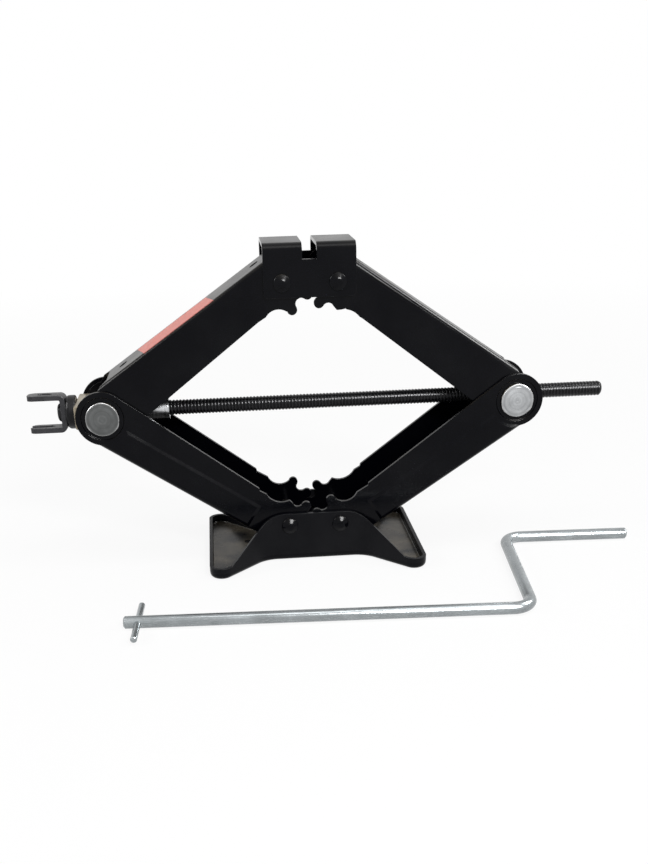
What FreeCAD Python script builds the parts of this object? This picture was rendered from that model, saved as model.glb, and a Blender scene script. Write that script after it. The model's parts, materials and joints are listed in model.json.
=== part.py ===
"""Scissor jack with a lead screw, geared channel arms and a loose crank, in millimetres.

The origin is on the floor under the middle of the base. X runs along the screw from the drive fork to
the free end, Y runs across the jack to the far side, and Z is up. Each arm is modelled in a frame of its
own: x from its rivet to its trunnion, z towards the inside of the jack, and the web of the channel on the
-z side.
"""
import FreeCAD
import Part
import Sketcher
import math
import os

Vector = FreeCAD.Vector
Rotation = FreeCAD.Rotation
X_AXIS = Vector(1, 0, 0)
Y_AXIS = Vector(0, 1, 0)
Z_AXIS = Vector(0, 0, 1)

SIZES = [
    # whole linkage
    ("arm_length", 155.8, "rivet to trunnion pin along one arm"),
    ("arm_angle", 33.7, "arms above the floor as modelled, degrees"),
    ("gear_radius", 19.0, "pitch radius of the arm gears; two rivets stand two of these apart"),
    ("sheet_gauge", 2.5, "steel sheet of the arms, saddle and base"),
    ("side_play", 0.25, "gap between nested sheets, each side"),
    ("pivot_play", 0.05, "radial clearance of pins and rivets in the arms"),
    ("upper_width", 43.0, "outside width of the upper arms"),
    # gear lobes
    ("lobe_pitch", 45.0, "angle from one gear lobe to the next"),
    ("lobe_start", 166.5, "angle of the near wall's first lobe from the arm's own x axis"),
    ("lobe_radius", 3.5, "round gear lobe on the pitch circle"),
    ("valley_radius", 3.85, "round gear valley on the pitch circle"),
    ("near_hollow_radius", 10.3, "wide hollow beside the last lobe, in the near wall"),
    ("near_hollow_place", 17.6, "rivet to the middle of that hollow"),
    ("far_hollow_radius", 13.5, "wide hollow beside the last valley, in the far wall"),
    ("far_hollow_place", 21.5, "rivet to the middle of that hollow"),
    ("shoulder_place", 10.0, "rivet to the top of the sloped shoulder beside the far hollow"),
    ("shoulder_rise", 16.2, "pivot line to the top of that shoulder"),
    ("gear_edge_rise", 13.0, "pivot line to the free edge over the rivet, where the hollows are cut"),
    # lower arms
    ("lower_web_start", 10.0, "rivet to the start of the lower arm's web"),
    ("lower_web_drop", 18.4, "pivot line to the outside of the lower arm's web"),
    ("lower_hollow_rise", 9.9, "pivot line to the bottom of the lower arm's hollows"),
    ("lower_step_place", 33.0, "rivet to the step in the lower arm's free edge"),
    ("lower_step_rise", 12.5, "pivot line to the free edge beyond the step"),
    ("lower_step_depth", 1.4, "height of the step in the free edge"),
    ("lower_eye_wall", 7.4, "sheet round the trunnion pin in the lower arm's eye"),
    ("panel_raise", 0.8, "pressed side panel of the lower arm, proud of the wall"),
    ("panel_start", 26.0, "rivet to the start of the pressed panel"),
    ("panel_end_gap", 7.8, "trunnion pin to the end of the pressed panel at the web"),
    ("panel_rise", 1.6, "pivot line to the foot of the panel's sloped edge"),
    ("panel_slope", 70.0, "slope of the panel's edge from the wall's normal, degrees"),
    ("panel_eye_wall", 6.3, "trunnion pin's edge to the round end of the panel"),
    ("dish_wall", 3.1, "trunnion pin's edge to the edge of the dished ring round it"),
    ("dish_depth", 0.8, "depth of the dished ring"),
    ("dish_slope", 45.0, "slope of the dished ring's edge, degrees"),
    # upper arms
    ("upper_web_start", 0.0, "rivet to the start of the upper arm's web"),
    ("upper_web_drop", 17.9, "pivot line to the outside of the upper arm's web"),
    ("upper_hollow_rise", 11.0, "pivot line to the bottom of the upper arm's hollows"),
    ("upper_edge_place", 28.0, "rivet to the start of the upper arm's straight free edge"),
    ("upper_edge_rise", 11.6, "pivot line to the free edge there"),
    ("upper_end_rise", 17.3, "pivot line to the free edge at the trunnion end"),
    ("upper_end_gap", 27.0, "trunnion pin to the corner of the free edge"),
    ("upper_end_cut", 12.0, "trunnion pin to where the free edge meets the round end"),
    ("upper_end_round", 6.0, "rounding of that corner"),
    ("upper_eye_wall", 4.9, "sheet round the trunnion pin in the upper arm's eye"),
    ("web_hole", 7.0, "round holes through the upper arm's web"),
    ("web_hole_place", 9.3, "rivet to the first hole's middle"),
    ("web_hole_end_gap", 31.4, "trunnion pin to the second hole's middle"),
    # both kinds of arm
    ("web_end_gap", 17.7, "trunnion pin to the deepest point of the scooped web end"),
    ("web_corner", 9.0, "rounding of the scooped web end"),
    ("bend_radius", 4.0, "outside bend of a channel"),
    # rivets and trunnions
    ("rivet_diameter", 8.0, "shank of the four long rivets"),
    ("rivet_lip", 2.0, "rivet's head beyond its shank, all round"),
    ("rivet_dome", 3.2, "height of a rivet's head"),
    ("rivet_crown", 2.4, "where the head's crown starts to fall away, from its middle"),
    ("rivet_crown_round", 4.0, "rounding of the crown"),
    ("rivet_brim", 1.0, "upright edge of a rivet's head"),
    ("rivet_brim_round", 0.8, "rounding above that edge"),
    ("pin_diameter", 23.0, "round ends of the trunnions"),
    ("pin_proud", 1.2, "trunnion pin beyond the lower arm's wall"),
    ("pin_chamfer", 0.8, "edge of the trunnion pin"),
    ("block_play", 0.3, "gap between a trunnion block and the upper arm's walls"),
    ("block_height", 16.4, "height of the trunnion blocks"),
    ("block_reach", 20.0, "left pin to the block's thrust face"),
    ("block_back", 14.0, "pin to the block's other face"),
    ("block_round", 1.2, "rounded long edges of the trunnion blocks"),
    # base
    ("floor_gap", 2.6, "gear lobes to the floor of the base"),
    ("base_length", 161.0, "base along the screw"),
    ("base_depth", 141.5, "base across the screw, over its sharp corners"),
    ("base_waist", 74.0, "straight part of the base's waist"),
    ("base_corner", 9.0, "rounded outer corners of the base"),
    ("base_flare_round", 20.0, "rounded bend where the waist flares out"),
    ("base_sole_round", 3.5, "rounded lower edge of the base"),
    ("rim_height", 8.5, "low rim at the base's ends"),
    ("ear_rise", 9.3, "base rivets to the top of the ears"),
    ("ear_top_length", 63.0, "top of an ear before its corners are rounded"),
    ("ear_foot_length", 128.0, "where the slopes of the ears meet the rim"),
    ("ear_round", 26.0, "rounded top corners of the ears"),
    ("base_hole", 6.0, "round holes through the base's floor"),
    ("base_hole_place", 50.0, "middle of the base to a floor hole, along the screw"),
    ("base_hole_shift", 9.0, "middle of the base to the floor holes, towards the far side"),
    # saddle
    ("saddle_length", 63.0, "saddle along the screw"),
    ("saddle_gap", 0.3, "gear lobes to the underside of the saddle"),
    ("saddle_drop", 9.6, "saddle rivets to the saddle's lower edge"),
    ("saddle_bend", 6.5, "outside bend of the saddle"),
    ("saddle_corner", 3.0, "rounded lower corners of the saddle's walls"),
    ("notch_width", 9.8, "notch across the saddle, along the screw"),
    ("notch_depth", 10.4, "depth of the notch"),
    # screw and its bearing
    ("screw_diameter", 10.6, "lead screw over its thread"),
    ("screw_reach", 367.0, "left pin to the screw's free end"),
    ("screw_chamfer", 1.2, "chamfer at the free end"),
    ("bore_play", 0.05, "radial clearance of the screw in the trunnions"),
    ("sleeve_wall", 2.5, "wall of the spacer sleeve"),
    ("sleeve_lip", 0.3, "lip at the sleeve's free end, beyond its wall"),
    ("sleeve_lip_length", 1.6, "length of that lip"),
    ("sleeve_reach", 46.2, "left pin to the sleeve's free end"),
    ("thrust_play", 0.1, "axial clearance of the turning pieces"),
    ("washer_gauge", 2.0, "thrust washer"),
    ("washer_play", 0.2, "thrust washer inside the bearing cup, each side"),
    ("ball_diameter", 4.0, "bearing balls"),
    ("ball_gap", 0.4, "least gap from ball to ball"),
    ("race_play", 0.5, "screw to the bearing balls"),
    ("cup_play", 0.9, "bearing balls to the wall of the cup"),
    ("cup_gap", 0.3, "rim of the cup to the trunnion block"),
    ("cup_wall", 1.2, "wall of the bearing cup"),
    ("cup_round", 2.8, "rounded back edge of the bearing cup"),
    ("cup_rim_round", 0.9, "rounded outer edge of the bearing cup's rim"),
    # drive fork
    ("fork_gauge", 3.5, "flat bar of the fork"),
    ("fork_gap", 19.3, "between the fork's arms"),
    ("fork_length", 26.8, "outside of the fork, along the screw"),
    ("fork_width", 16.0, "width of the flat bar"),
    ("fork_bend", 4.5, "outside bend of the fork"),
    ("fork_tip_round", 5.0, "rounded tips of the fork's arms"),
    ("fork_slot_width", 6.2, "slots for the crank's cross pin"),
    ("fork_slot_back", 6.0, "web of the fork to the slots"),
    ("fork_slot_length", 10.2, "closed slot in the upper arm"),
    ("fork_turn", -5.0, "fork turned about the screw as modelled, degrees"),
    ("peen_spread", 1.5, "screw end spread over the fork, all round"),
    ("peen_height", 2.9, "screw end inside the fork"),
    # crank
    ("rod_diameter", 8.5, "round bar of the crank"),
    ("rod_chamfer", 1.0, "chamfered ends of the crank"),
    ("shaft_length", 274.6, "crank's long leg to its first corner"),
    ("throw_length", 124.5, "crank's middle leg, corner to corner"),
    ("grip_length", 96.0, "crank's short leg from its corner"),
    ("crank_angle", 87.2, "turn at each corner of the crank, degrees"),
    ("crank_bend", 14.0, "bend radius at the middle of the bar"),
    ("cross_pin_diameter", 4.4, "pin through the crank's long leg"),
    ("cross_pin_length", 52.0, "pin through the crank's long leg"),
    ("cross_pin_place", 9.4, "end of the long leg to the pin"),
    ("cross_pin_chamfer", 0.55, "edge of the cross pin"),
    ("crank_left", -138.1, "end of the long leg from the jack's middle"),
    ("crank_front", -126.0, "end of the long leg from the screw's line"),
    ("crank_turn", -2.9, "crank turned on the floor, degrees"),
]

# the near wall has this many lobes, with the valleys between them, and the far wall the other way round
LOBES = 3
GAPS = LOBES - 1
# a cut runs this far past the piece
BEYOND = 60.0
# a rounding this share of the full one leaves a narrow flat
ALMOST = 0.95
HALF_TURN = 180.0

doc = FreeCAD.newDocument("scissor_jack")
sheet = doc.addObject("Spreadsheet::Sheet", "sizes")
for row, (alias, number, note) in enumerate(SIZES, 1):
    sheet.set(f"A{row}", note)
    sheet.set(f"B{row}", str(number))
    sheet.setAlias(f"B{row}", alias)
doc.recompute()


class Size:
    """One dimension: its number now, and the expression that keeps it tied to the sheet."""

    def __init__(self, number, text):
        self.number = number
        self.text = text

    def __add__(self, other):
        other = as_size(other)
        return Size(self.number + other.number, f"({self.text} + {other.text})")

    def __sub__(self, other):
        other = as_size(other)
        return Size(self.number - other.number, f"({self.text} - {other.text})")

    def __mul__(self, other):
        other = as_size(other)
        return Size(self.number * other.number, f"({self.text} * {other.text})")

    def __truediv__(self, other):
        other = as_size(other)
        return Size(self.number / other.number, f"({self.text} / {other.text})")

    def __neg__(self):
        return Size(-self.number, f"(-{self.text})")


def as_size(value):
    """A plain number counts as a size that nothing changes."""
    return value if isinstance(value, Size) else Size(float(value), f"({float(value)})")


def cosine(angle):
    return Size(math.cos(math.radians(angle.number)), f"cos({angle.text})")


def sine(angle):
    return Size(math.sin(math.radians(angle.number)), f"sin({angle.text})")


class Sheet:
    """The sizes of the sheet, by name."""


for alias, number, note in SIZES:
    setattr(Sheet, alias, Size(float(sheet.get(alias)), f"sizes.{alias}"))

ZERO = as_size(0)

# widths of the nested channels, from the inside out
upper_inner = Sheet.upper_width - Sheet.sheet_gauge * 2
lower_inner = Sheet.upper_width + Sheet.side_play * 2
lower_outer = lower_inner + Sheet.sheet_gauge * 2
saddle_outer = lower_outer
base_inner = lower_outer + Sheet.side_play * 2
base_outer = base_inner + Sheet.sheet_gauge * 2
pin_length = lower_outer + Sheet.pin_proud * 2
block_width = upper_inner - Sheet.block_play * 2

# rounds about the pivots
rivet_head = Sheet.rivet_diameter + Sheet.rivet_lip * 2
lower_eye = Sheet.pin_diameter / 2 + Sheet.lower_eye_wall
upper_eye = Sheet.pin_diameter / 2 + Sheet.upper_eye_wall
gear_reach = Sheet.gear_radius + Sheet.lobe_radius

# heights and reach of the linkage as modelled
base_rivet_height = Sheet.sheet_gauge + Sheet.floor_gap + gear_reach
saddle_rise = gear_reach + Sheet.saddle_gap + Sheet.sheet_gauge
arm_run = Sheet.arm_length * cosine(Sheet.arm_angle)
arm_rise = Sheet.arm_length * sine(Sheet.arm_angle)
pin_reach = Sheet.gear_radius + arm_run
pin_height = base_rivet_height + arm_rise
saddle_rivet_height = pin_height + arm_rise

# turned pieces about the screw
screw_radius = Sheet.screw_diameter / 2
bore_radius = screw_radius + Sheet.bore_play
ball_ring = screw_radius + Sheet.race_play + Sheet.ball_diameter / 2
cup_inside = ball_ring + Sheet.ball_diameter / 2 + Sheet.cup_play
cup_outside = cup_inside + Sheet.cup_wall
ball_step = math.asin((Sheet.ball_diameter + Sheet.ball_gap).number / ball_ring.number / 2)
ball_count = int(math.pi / ball_step)

# places along the screw, from the left pin outwards
washer_face = Sheet.block_reach + Sheet.washer_gauge
ball_place = washer_face + Sheet.thrust_play + Sheet.ball_diameter / 2
cup_back = ball_place + Sheet.ball_diameter / 2 + Sheet.cup_wall
fork_back = cup_back + Sheet.fork_gauge
fork_tip = cup_back + Sheet.fork_length


def new_body(label):
    body = doc.addObject("PartDesign::Body", label)
    body.Label = label
    return body


def origin_part(body, role):
    return next(part for part in body.Origin.OriginFeatures if part.Role == role)


def new_sketch(body, name, plane, shift=ZERO):
    """A sketch on one of the body's own planes, shifted along the plane's normal."""
    sketch = body.newObject("Sketcher::SketchObject", name)
    sketch.AttachmentSupport = [(origin_part(body, plane), "")]
    sketch.MapMode = "FlatFace"
    sketch.AttachmentOffset = FreeCAD.Placement(Vector(0, 0, shift.number), Rotation())
    sketch.setExpression(".AttachmentOffset.Base.z", shift.text)
    return sketch


def tie(sketch, constraint, size):
    """Add a constraint that takes its value from the sheet."""
    index = sketch.addConstraint(Sketcher.Constraint(*constraint, size.number))
    sketch.setExpression(f"Constraints[{index}]", size.text)


def tie_point(sketch, geometry, end, x, y):
    tie(sketch, ("DistanceX", -1, 1, geometry, end), x)
    tie(sketch, ("DistanceY", -1, 1, geometry, end), y)


def corner_arc(before, corner, after, radius):
    """Tangent points and arc that round one corner, and whether the path turns left there."""
    back = (before - corner).normalize()
    ahead = (after - corner).normalize()
    half = back.getAngle(ahead) / 2
    reach = radius / math.tan(half)
    start = corner + back * reach
    end = corner + ahead * reach
    centre = corner + (back + ahead).normalize() * (radius / math.sin(half))
    left = back.cross(ahead).z < 0
    middle = centre + (corner - centre).normalize() * radius
    first, last = (start, end) if left else (end, start)
    return start, end, Part.Arc(first, middle, last), left


def draw_path(sketch, corners, closed=True):
    """Straight runs through tied corners; a corner with a third entry is rounded to that radius."""
    corners = [tuple(as_size(value) for value in corner) for corner in corners]
    points = [Vector(corner[0].number, corner[1].number, 0) for corner in corners]
    count = len(points)
    starts, ends, arcs = list(points), list(points), {}
    for i, corner in enumerate(corners):
        if len(corner) == 3:
            before, after = points[i - 1], points[(i + 1) % count]
            ends[i], starts[i], arc, left = corner_arc(before, points[i], after, corner[2].number)
            arcs[i] = (sketch.addGeometry(arc), left)
    runs = count if closed else count - 1
    lines = {}
    for i in range(runs):
        lines[i] = sketch.addGeometry(Part.LineSegment(starts[i], ends[(i + 1) % count]))
    for i, corner in enumerate(corners):
        into, out = lines.get((i - 1) % count), lines.get(i)
        if i in arcs:
            arc, left = arcs[i]
            mark = sketch.addGeometry(Part.Point(points[i]), True)
            tie_point(sketch, mark, 1, corner[0], corner[1])
            sketch.addConstraint(Sketcher.Constraint("PointOnObject", mark, 1, into))
            sketch.addConstraint(Sketcher.Constraint("PointOnObject", mark, 1, out))
            sketch.addConstraint(Sketcher.Constraint("Tangent", into, 2, arc, 1 if left else 2))
            sketch.addConstraint(Sketcher.Constraint("Tangent", out, 1, arc, 2 if left else 1))
            tie(sketch, ("Radius", arc), corner[2])
            continue
        if into is not None and out is not None:
            sketch.addConstraint(Sketcher.Constraint("Coincident", into, 2, out, 1))
        line, end = (out, 1) if out is not None else (into, 2)
        tie_point(sketch, line, end, corner[0], corner[1])
    return sketch


def draw_box(sketch, low_x, low_y, high_x, high_y):
    return draw_path(sketch, [(low_x, low_y), (high_x, low_y), (high_x, high_y), (low_x, high_y)])


def draw_circle(sketch, x, y, radius):
    circle = sketch.addGeometry(Part.Circle(Vector(x.number, y.number, 0), Z_AXIS, radius.number))
    tie_point(sketch, circle, 3, x, y)
    tie(sketch, ("Radius", circle), radius)
    return sketch


def pad(body, sketch, name, length, symmetric=True, reverse=False):
    feature = body.newObject("PartDesign::Pad", name)
    feature.Profile = sketch
    feature.SideType = "Symmetric" if symmetric else "One side"
    feature.Reversed = reverse
    feature.setExpression("Length", length.text)
    return feature


def pocket(body, sketch, name, length=None, symmetric=True, reverse=False, slope=None):
    """A cut of the given length, or through everything; a slope lets its sides lean."""
    feature = body.newObject("PartDesign::Pocket", name)
    feature.Profile = sketch
    feature.SideType = "Symmetric" if symmetric else "One side"
    feature.Reversed = reverse
    if length is None:
        feature.Type = "ThroughAll"
    else:
        feature.setExpression("Length", length.text)
    if slope is not None:
        feature.setExpression("TaperAngle", slope.text)
    return feature


def revolve(body, sketch, name, axis):
    feature = body.newObject("PartDesign::Revolution", name)
    feature.Profile = sketch
    feature.ReferenceAxis = (sketch, [axis])
    feature.Angle = 360
    return feature


def polar(body, original, name, count):
    """Copies of one gear feature about the rivet, one lobe pitch apart."""
    feature = body.newObject("PartDesign::PolarPattern", name)
    feature.Originals = [original]
    feature.Axis = (origin_part(body, "Y_Axis"), [""])
    feature.Occurrences = count
    feature.setExpression("Angle", (Sheet.lobe_pitch * (count - 1)).text)
    body.Tip = feature
    return feature


def mirror(body, original, name, plane):
    feature = body.newObject("PartDesign::Mirrored", name)
    feature.Originals = [original]
    feature.MirrorPlane = (origin_part(body, plane), [""])
    body.Tip = feature
    return feature


def edge_names(feature, wanted):
    return [f"Edge{n}" for n, edge in enumerate(feature.Shape.Edges, 1) if wanted(edge)]


def round_edges(body, feature, name, radius, wanted, kind="PartDesign::Fillet"):
    """Fillet or chamfer the edges of the latest feature that pass the test."""
    doc.recompute()
    rounded = body.newObject(kind, name)
    rounded.Base = (feature, edge_names(feature, wanted))
    rounded.setExpression("Size" if kind.endswith("Chamfer") else "Radius", radius.text)
    return rounded


def near(a, b, tolerance=0.01):
    return abs(a - b) < tolerance


def runs_along(edge, axis):
    if edge.Curve.TypeId != "Part::GeomLine":
        return False
    return near(edge.Curve.Direction.cross(axis).Length, 0)


def put(body, x, y, z, rotation=None):
    """Turn a finished piece and tie its place to the sheet."""
    body.Placement = FreeCAD.Placement(Vector(x.number, y.number, z.number), rotation or Rotation())
    for axis, size in zip("xyz", (x, y, z)):
        body.setExpression(f".Placement.Base.{axis}", size.text)
    return body


def add_gear(body, inner, rise):
    """Lobes, valleys and a hollow on each wall; the far wall is half a pitch out of step with the near one."""
    first = Sheet.lobe_start
    second = first - Sheet.lobe_pitch / 2
    walls = [
        ("near", False, first, LOBES, second, GAPS, Sheet.near_hollow_place, Sheet.near_hollow_radius),
        ("far", True, second, GAPS, first, LOBES, Sheet.far_hollow_place, Sheet.far_hollow_radius),
    ]
    for wall, far, lobe_angle, lobes, valley_angle, valleys, hollow_place, hollow_radius in walls:
        face = -(inner / 2) if far else inner / 2
        sketch = new_sketch(body, f"{wall}_valley_sketch", "XZ_Plane", face)
        x = Sheet.gear_radius * cosine(valley_angle)
        z = Sheet.gear_radius * sine(valley_angle)
        draw_circle(sketch, x, z, Sheet.valley_radius)
        cut = pocket(body, sketch, f"{wall}_valley", Sheet.sheet_gauge, False, not far)
        polar(body, cut, f"{wall}_valleys", valleys)
        sketch = new_sketch(body, f"{wall}_hollow_sketch", "XZ_Plane", face)
        draw_circle(sketch, hollow_place, rise + hollow_radius, hollow_radius)
        pocket(body, sketch, f"{wall}_hollow", Sheet.sheet_gauge, False, not far)
        if far:
            cut_shoulder(body, face, valley_angle - Sheet.lobe_pitch * (valleys - 1))
        sketch = new_sketch(body, f"{wall}_lobe_sketch", "XZ_Plane", face)
        x = Sheet.gear_radius * cosine(lobe_angle)
        z = Sheet.gear_radius * sine(lobe_angle)
        draw_circle(sketch, x, z, Sheet.lobe_radius)
        lobe = pad(body, sketch, f"{wall}_lobe", Sheet.sheet_gauge, False, far)
        polar(body, lobe, f"{wall}_lobes", lobes)


def cut_shoulder(body, face, angle):
    """Slope the far wall's shoulder up from the bottom of its last valley."""
    foot = Sheet.gear_radius * cosine(angle)
    bottom = Sheet.gear_radius * sine(angle) - Sheet.valley_radius
    sketch = new_sketch(body, "shoulder_sketch", "XZ_Plane", face)
    draw_path(sketch, [(foot, bottom), (Sheet.shoulder_place, Sheet.shoulder_rise),
                       (Sheet.shoulder_place, as_size(BEYOND)), (foot, as_size(BEYOND))])
    pocket(body, sketch, "shoulder", Sheet.sheet_gauge, False, False)


def add_channel(body, strip, inner, outer, web_start, web_drop, eye_radius):
    """The bent channel itself: side walls with round ends, a web with open ends, and the bends."""
    length = Sheet.arm_length
    sketch = draw_path(new_sketch(body, "strip_sketch", "XZ_Plane"), strip)
    pad(body, sketch, "strip", outer)
    sketch = draw_circle(new_sketch(body, "gear_disc_sketch", "XZ_Plane"), ZERO, ZERO, Sheet.gear_radius)
    pad(body, sketch, "gear_disc", outer)
    sketch = draw_circle(new_sketch(body, "eye_sketch", "XZ_Plane"), length, ZERO, eye_radius)
    pad(body, sketch, "eye", outer)
    sketch = new_sketch(body, "gear_trim_sketch", "XZ_Plane")
    draw_box(sketch, as_size(-BEYOND), as_size(-BEYOND), Sheet.gear_radius, -web_drop)
    trimmed = pocket(body, sketch, "gear_trim")
    half = outer.number / 2
    round_edges(body, trimmed, "web_bends", Sheet.bend_radius, lambda edge: (
        runs_along(edge, X_AXIS) and near(edge.BoundBox.ZMax, -web_drop.number)
        and near(abs(edge.BoundBox.YMax), half) and edge.Length > half))
    sketch = new_sketch(body, "channel_sketch", "XZ_Plane")
    draw_box(sketch, as_size(-BEYOND), Sheet.sheet_gauge - web_drop, length + BEYOND, as_size(BEYOND))
    pocket(body, sketch, "channel", inner)
    side = inner / 2
    sketch = new_sketch(body, "gear_opening_sketch", "XY_Plane")
    draw_box(sketch, as_size(-BEYOND), -side, web_start, side)
    pocket(body, sketch, "gear_opening")
    sketch = new_sketch(body, "scoop_sketch", "XY_Plane")
    scoop = length - Sheet.web_end_gap
    draw_path(sketch, [(scoop, -side, Sheet.web_corner), (length + BEYOND, -side),
                       (length + BEYOND, side), (scoop, side, Sheet.web_corner)])
    return pocket(body, sketch, "scoop")


def add_pivots(body):
    sketch = new_sketch(body, "pivot_sketch", "XZ_Plane")
    draw_circle(sketch, ZERO, ZERO, Sheet.rivet_diameter / 2 + Sheet.pivot_play)
    draw_circle(sketch, Sheet.arm_length, ZERO, Sheet.pin_diameter / 2 + Sheet.pivot_play)
    pocket(body, sketch, "pivots")


def lower_arm(label):
    """Outer channel: round eyes, a step in the free edge and a panel pressed out of each wall."""
    body = new_body(label)
    length = Sheet.arm_length
    web = -Sheet.lower_web_drop
    step_foot = Sheet.lower_step_rise - Sheet.lower_step_depth
    strip = [(ZERO, web), (length, web), (length, lower_eye),
             (Sheet.lower_step_place + Sheet.lower_step_depth, Sheet.lower_step_rise),
             (Sheet.lower_step_place, step_foot), (ZERO, Sheet.gear_edge_rise)]
    pressed = lower_outer + Sheet.panel_raise * 2
    add_channel(body, strip, lower_inner, pressed, Sheet.lower_web_start, Sheet.lower_web_drop, lower_eye)
    panel_end = length - Sheet.panel_end_gap
    panel_eye = Sheet.pin_diameter / 2 + Sheet.panel_eye_wall
    sketch = new_sketch(body, "panel_hollow_sketch", "XZ_Plane")
    hollow = Sheet.sheet_gauge
    draw_box(sketch, Sheet.panel_start + hollow * 2, hollow + web,
             length - panel_eye - hollow, Sheet.panel_rise - hollow)
    pocket(body, sketch, "panel_hollow", lower_inner + Sheet.panel_raise * 2)
    sketch = new_sketch(body, "relief_sketch", "XZ_Plane", lower_outer / 2)
    far, deep = length + BEYOND, as_size(-BEYOND)
    draw_path(sketch, [(deep, deep), (Sheet.panel_start, deep), (Sheet.panel_start, Sheet.panel_rise),
                       (panel_end, Sheet.panel_rise), (panel_end, deep),
                       (far, deep), (far, as_size(BEYOND)), (deep, as_size(BEYOND))])
    relief = pocket(body, sketch, "relief", Sheet.panel_raise, False, True, Sheet.panel_slope)
    mirror(body, relief, "reliefs", "XZ_Plane")
    sketch = new_sketch(body, "panel_eye_sketch", "XZ_Plane", lower_outer / 2)
    draw_circle(sketch, length, ZERO, panel_eye)
    rounded = pocket(body, sketch, "panel_eye", Sheet.panel_raise, False, True, Sheet.panel_slope)
    mirror(body, rounded, "panel_eyes", "XZ_Plane")
    sketch = new_sketch(body, "dish_sketch", "XZ_Plane", lower_outer / 2 - Sheet.dish_depth)
    draw_circle(sketch, length, ZERO, Sheet.pin_diameter / 2 + Sheet.dish_wall)
    dish = pocket(body, sketch, "dish", Sheet.dish_depth, False, True, Sheet.dish_slope)
    mirror(body, dish, "dishes", "XZ_Plane")
    add_gear(body, lower_inner, Sheet.lower_hollow_rise)
    add_pivots(body)
    return body


def upper_arm(label):
    """Inner channel: round holes in the web and a free edge cut back to clear the lower arm's web."""
    body = new_body(label)
    length = Sheet.arm_length
    web = -Sheet.upper_web_drop
    cut = Sheet.upper_end_cut
    strip = [(ZERO, web), (length - cut, web), (length, -cut), (length, cut), (length - cut, cut),
             (length - Sheet.upper_end_gap, Sheet.upper_end_rise, Sheet.upper_end_round),
             (Sheet.upper_edge_place, Sheet.upper_edge_rise), (ZERO, Sheet.gear_edge_rise)]
    add_channel(body, strip, upper_inner, Sheet.upper_width, Sheet.upper_web_start, Sheet.upper_web_drop,
                upper_eye)
    sketch = new_sketch(body, "web_hole_sketch", "XY_Plane")
    for middle in (Sheet.web_hole_place, length - Sheet.web_hole_end_gap):
        draw_circle(sketch, middle, ZERO, Sheet.web_hole / 2)
    pocket(body, sketch, "web_holes")
    add_gear(body, upper_inner, Sheet.upper_hollow_rise)
    add_pivots(body)
    return body


def base_plate(label):
    """Stamped tray: a waist between two ears, flared ends with a low rim, a flat sole."""
    body = new_body(label)
    top = base_rivet_height + Sheet.ear_rise
    end, side = Sheet.base_length / 2, Sheet.base_depth / 2
    waist, ear = Sheet.base_waist / 2, base_outer / 2
    corner, flare = Sheet.base_corner, Sheet.base_flare_round
    plan = [(-end, -side, corner), (-waist, -ear, flare), (waist, -ear, flare), (end, -side, corner),
            (end, side, corner), (waist, ear, flare), (-waist, ear, flare), (-end, side, corner)]
    sketch = draw_path(new_sketch(body, "plan_sketch", "XY_Plane"), plan)
    block = pad(body, sketch, "blank", top, False)
    sole = round_edges(body, block, "sole_edge", Sheet.base_sole_round,
                       lambda edge: near(edge.BoundBox.ZMax, 0))
    doc.recompute()
    top_face = next(f"Face{n}" for n, face in enumerate(sole.Shape.Faces, 1)
                    if near(face.BoundBox.ZMin, top.number))
    tray = body.newObject("PartDesign::Thickness", "tray")
    tray.Base = (sole, [top_face])
    tray.Reversed = True
    tray.Join = "Intersection"
    tray.setExpression("Value", Sheet.sheet_gauge.text)
    foot, crown = Sheet.ear_foot_length / 2, Sheet.ear_top_length / 2
    sketch = new_sketch(body, "slope_sketch", "XZ_Plane")
    draw_path(sketch, [(ZERO, top), (crown, top, Sheet.ear_round), (foot, Sheet.rim_height),
                       (end + BEYOND, Sheet.rim_height), (end + BEYOND, top + BEYOND),
                       (ZERO, top + BEYOND)])
    slope = pocket(body, sketch, "slope")
    mirror(body, slope, "slopes", "YZ_Plane")
    sketch = new_sketch(body, "rivet_hole_sketch", "XZ_Plane")
    for place in (-Sheet.gear_radius, Sheet.gear_radius):
        draw_circle(sketch, place, base_rivet_height, Sheet.rivet_diameter / 2)
    pocket(body, sketch, "rivet_holes")
    sketch = new_sketch(body, "floor_hole_sketch", "XY_Plane")
    for place in (-Sheet.base_hole_place, Sheet.base_hole_place):
        draw_circle(sketch, place, Sheet.base_hole_shift, Sheet.base_hole / 2)
    pocket(body, sketch, "floor_holes")
    return body


def saddle(label):
    """Folded top plate over the upper arms, with a notch for the sill seam across its middle."""
    body = new_body(label)
    half, gauge = saddle_outer / 2, Sheet.sheet_gauge
    top, low = saddle_rise, -Sheet.saddle_drop
    inside = Sheet.saddle_bend - gauge
    fold = [(-half, low), (-half + gauge, low), (-half + gauge, top - gauge, inside),
            (half - gauge, top - gauge, inside), (half - gauge, low), (half, low),
            (half, top, Sheet.saddle_bend), (-half, top, Sheet.saddle_bend)]
    sketch = draw_path(new_sketch(body, "fold_sketch", "YZ_Plane"), fold)
    folded = pad(body, sketch, "fold", Sheet.saddle_length)
    end = Sheet.saddle_length.number / 2
    round_edges(body, folded, "wall_corners", Sheet.saddle_corner, lambda edge: (
        runs_along(edge, Y_AXIS) and near(edge.BoundBox.ZMax, low.number)
        and near(abs(edge.BoundBox.XMax), end)))
    sketch = new_sketch(body, "notch_sketch", "XZ_Plane")
    draw_box(sketch, -(Sheet.notch_width / 2), top - Sheet.notch_depth, Sheet.notch_width / 2, top + BEYOND)
    pocket(body, sketch, "notch")
    sketch = new_sketch(body, "rivet_hole_sketch", "XZ_Plane")
    for place in (-Sheet.gear_radius, Sheet.gear_radius):
        draw_circle(sketch, place, ZERO, Sheet.rivet_diameter / 2)
    pocket(body, sketch, "rivet_holes")
    return body


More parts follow.
